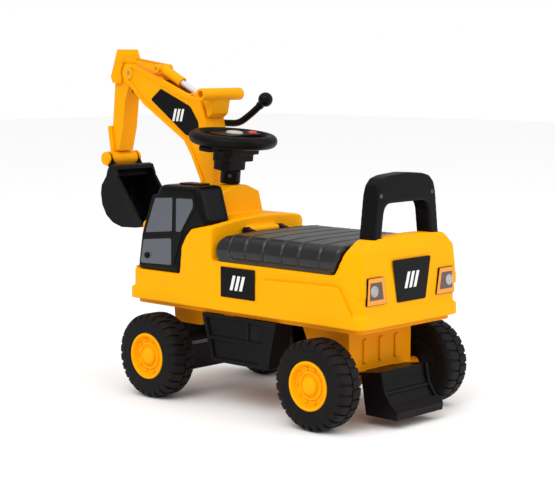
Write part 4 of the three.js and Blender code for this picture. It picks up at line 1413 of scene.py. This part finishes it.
@dataclass
class Labels:
    """The black label plates with a plain mark of three bars, and the rear lamps."""

    bench: Bench
    side_face: float = 104.1
    rear_face: float = 227.1
    lamp_foot: float = 2.6
    bulb_foot: float = 0.8
    bulb_at: tuple[float, float] = (81.0, 189.5)

    TRIM: ClassVar[Outline] = [
        (60.4, 207.4, 1.5), (92.4, 207.4, 1.5), (94.8, 170.6, 1.5), (53.4, 170.6, 1.5)
    ]
    FRAME: ClassVar[Outline] = [(60.9, 206.9, 1), (92.0, 206.9, 1), (94.3, 171.1, 1), (54.0, 171.1, 1)]
    PANEL: ClassVar[Outline] = [(65, 201, 1), (88.4, 201, 1), (89.6, 177.5, 1), (61, 177.5, 1)]
    RING: ClassVar[Outline] = [(5.6, 0.0), (5.8, 1.5), (6.6, 1.8), (7.3, 1.5), (7.6, 0.0)]
    BULB: ClassVar[Outline] = [
        (0, 1.5), (1.5, 1.5), (2.0, 0.8), (4.0, 1.2), (5.7, 0.6), (5.7, 0.0), (0, 0.0)
    ]

    def build(self) -> None:
        """Makes the plates, marks and lamps."""
        bench = self.bench
        for side in ("left", "right"):
            bench.carry("side_badge_" + side, "chassis", Finish.LABEL, 0.3, 2)
            bench.carry("boom_decal_" + side, "boom", Finish.LABEL, 0.2, 2)
        bench.carry("rear_badge", "chassis", Finish.LABEL, 0.3, 2)
        left = Matrix(((0, 0, 1), (1, 0, 0), (0, 1, 0))).to_4x4()
        right = Matrix(((0, 0, -1), (-1, 0, 0), (0, 1, 0))).to_4x4()
        back = Matrix(((-1, 0, 0), (0, 0, 1), (0, 1, 0))).to_4x4()
        for name, body, turn, spot, height in (
            ("side_mark_left", "chassis", left, (self.side_face, -1.5, 180.5), 21),
            ("side_mark_right", "chassis", right, (-self.side_face, -1.5, 180.5), 21),
            ("rear_mark", "chassis", back, (0, self.rear_face - 0.2, 198), 22),
            ("boom_mark_left", "boom", left, (-20.8, -252, 407), 19),
            ("boom_mark_right", "boom", right, (-59.2, -252, 407), 19),
        ):
            bench.mark(name, body, Matrix.Translation(Vector(spot)) @ turn, height)
        for side, name in ((1, "rear_lamp_left"), (-1, "rear_lamp_right")):
            self.lamp(name, side)

    def lamp(self, name: str, side: int) -> None:
        """Makes one rear lamp: an orange frame round a dark panel with a round reflector.

        Args:
            name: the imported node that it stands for.
            side: 1 on the left, -1 on the right.
        """
        bench = self.bench
        foot = self.rear_face - self.lamp_foot
        for word, corners, finish, height in (
            ("trim", self.TRIM, Finish.LABEL, 0.5),
            ("frame", self.FRAME, Finish.LAMP, 0.75),
            ("panel", self.PANEL, Finish.LAMP_DARK, 1.0),
        ):
            placed = [(side * a, *rest) for a, *rest in corners]
            layer = bench.prism(f"{name}_{word}", placed, Axis.Y, foot, self.rear_face + height)
            nodes = (name,) if word == "frame" else ()
            bench.dress(bench.bevel(layer, 0.2, 2), "chassis", finish, *nodes)
        x, z = self.bulb_at
        spot = (side * x, self.rear_face + self.bulb_foot, z)
        for word, profile, sides in (("ring", self.RING, 40), ("reflector", self.BULB, 36)):
            round_piece = bench.turned(f"{name}_{word}", profile, spot, Axis.Y, sides)
            bench.dress(bench.smooth(round_piece, 50.0), "chassis", Finish.LAMP_GLASS)


# ---- studio ----


@dataclass
class Studio:
    """Camera, soft lights and the pale floor."""

    bench: Bench
    camera_at: tuple[float, float, float] = (1665.0, 1537.6, 492.8)
    look_at: tuple[float, float, float] = (8.1, -8.68, 218.86)
    lens: float = 102.34
    sensor: float = 36.0
    shift_x: float = -0.00515
    soft_light: float = 0.52
    sky_light: float = 1.5
    sky_width: float = math.radians(100)
    sky_turn: tuple[float, float, float] = (math.radians(-8), math.radians(14), 0.0)
    lit: tuple[float, float, float] = (0.0, 0.0, 0.2)
    floor_half: float = 9000.0
    floor_z: float = -0.4

    def build(self) -> None:
        """Sets up the studio."""
        self.camera()
        half, z = self.floor_half, self.floor_z
        corners = [(-half, -half, z), (half, -half, z), (half, half, z), (-half, half, z)]
        floor = self.bench.mesh("floor", corners, [(0, 1, 2, 3)])
        floor.data.materials.append(StudioFloor().material())
        self.lamp("key", (2.3, 0.9, 2.6), 2.0, 40.0)
        sun = bpy.data.lights.new("sky", "SUN")
        sun.energy = self.sky_light
        sun.angle = self.sky_width
        link("sky", sun).rotation_euler = self.sky_turn
        self.lamp("back", (-1.4, 2.4, 1.5), 1.8, 22.0)
        self.backdrop()

    def camera(self) -> None:
        """Places the camera."""
        data = bpy.data.cameras.new("camera")
        data.lens = self.lens
        data.sensor_width = self.sensor
        data.shift_x = self.shift_x
        camera = link("camera", data)
        eye, aim = self.bench.at(self.camera_at), self.bench.at(self.look_at)
        camera.location = eye
        camera.rotation_euler = (aim - eye).to_track_quat("-Z", "Y").to_euler()
        bpy.context.scene.camera = camera

    def backdrop(self) -> None:
        """Makes the world: white behind everything, and a dimmer white that lights the digger."""
        world = bpy.data.worlds.new("world")
        bpy.context.scene.world = world
        world.use_nodes = True
        tree = Tree(world.node_tree)
        shader = tree.tree.nodes["Background"]
        tree.feed(shader.inputs["Color"], (1.0, 1.0, 1.0))
        seen = tree.wire("Is Camera Ray", "ShaderNodeLightPath")
        tree.feed(shader.inputs["Strength"], self.soft_light + (1.0 - self.soft_light) * seen)
        bpy.context.scene.view_settings.view_transform = "Standard"

    def lamp(self, name: str, spot: tuple[float, float, float], size: float, power: float) -> None:
        """Adds a square soft light that faces the digger.

        Args:
            name: the light's name.
            spot: where it stands, in metres.
            size: its side in metres.
            power: its power in watts.
        """
        data = bpy.data.lights.new(name, "AREA")
        data.size = size
        data.energy = power
        light = link(name, data)
        light.location = spot
        light.rotation_euler = (Vector(self.lit) - Vector(spot)).to_track_quat("-Z", "Y").to_euler()


def main() -> None:
    """Loads the frame and builds every sub-assembly in order."""
    logging.basicConfig(level=logging.INFO, format="%(name)s: %(message)s")
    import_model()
    low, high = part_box("rear_axle")
    bench = Bench(shift=(low.y + high.y) / 2 - REAR_AXLE_Y * MM)
    wheels = (
        ("front_left", 1, FRONT_AXLE_Y),
        ("front_right", -1, FRONT_AXLE_Y),
        ("rear_left", 1, REAR_AXLE_Y),
        ("rear_right", -1, REAR_AXLE_Y),
    )
    for assembly in (
        Studio(bench), Body(bench), PushHandle(bench), Cab(bench), Seat(bench),
        *(Wheel(bench, *wheel) for wheel in wheels), Steering(bench), Arm(bench), Labels(bench),
    ):
        assembly.build()
    bpy.context.view_layer.update()


if __name__ == "__main__":
    main()
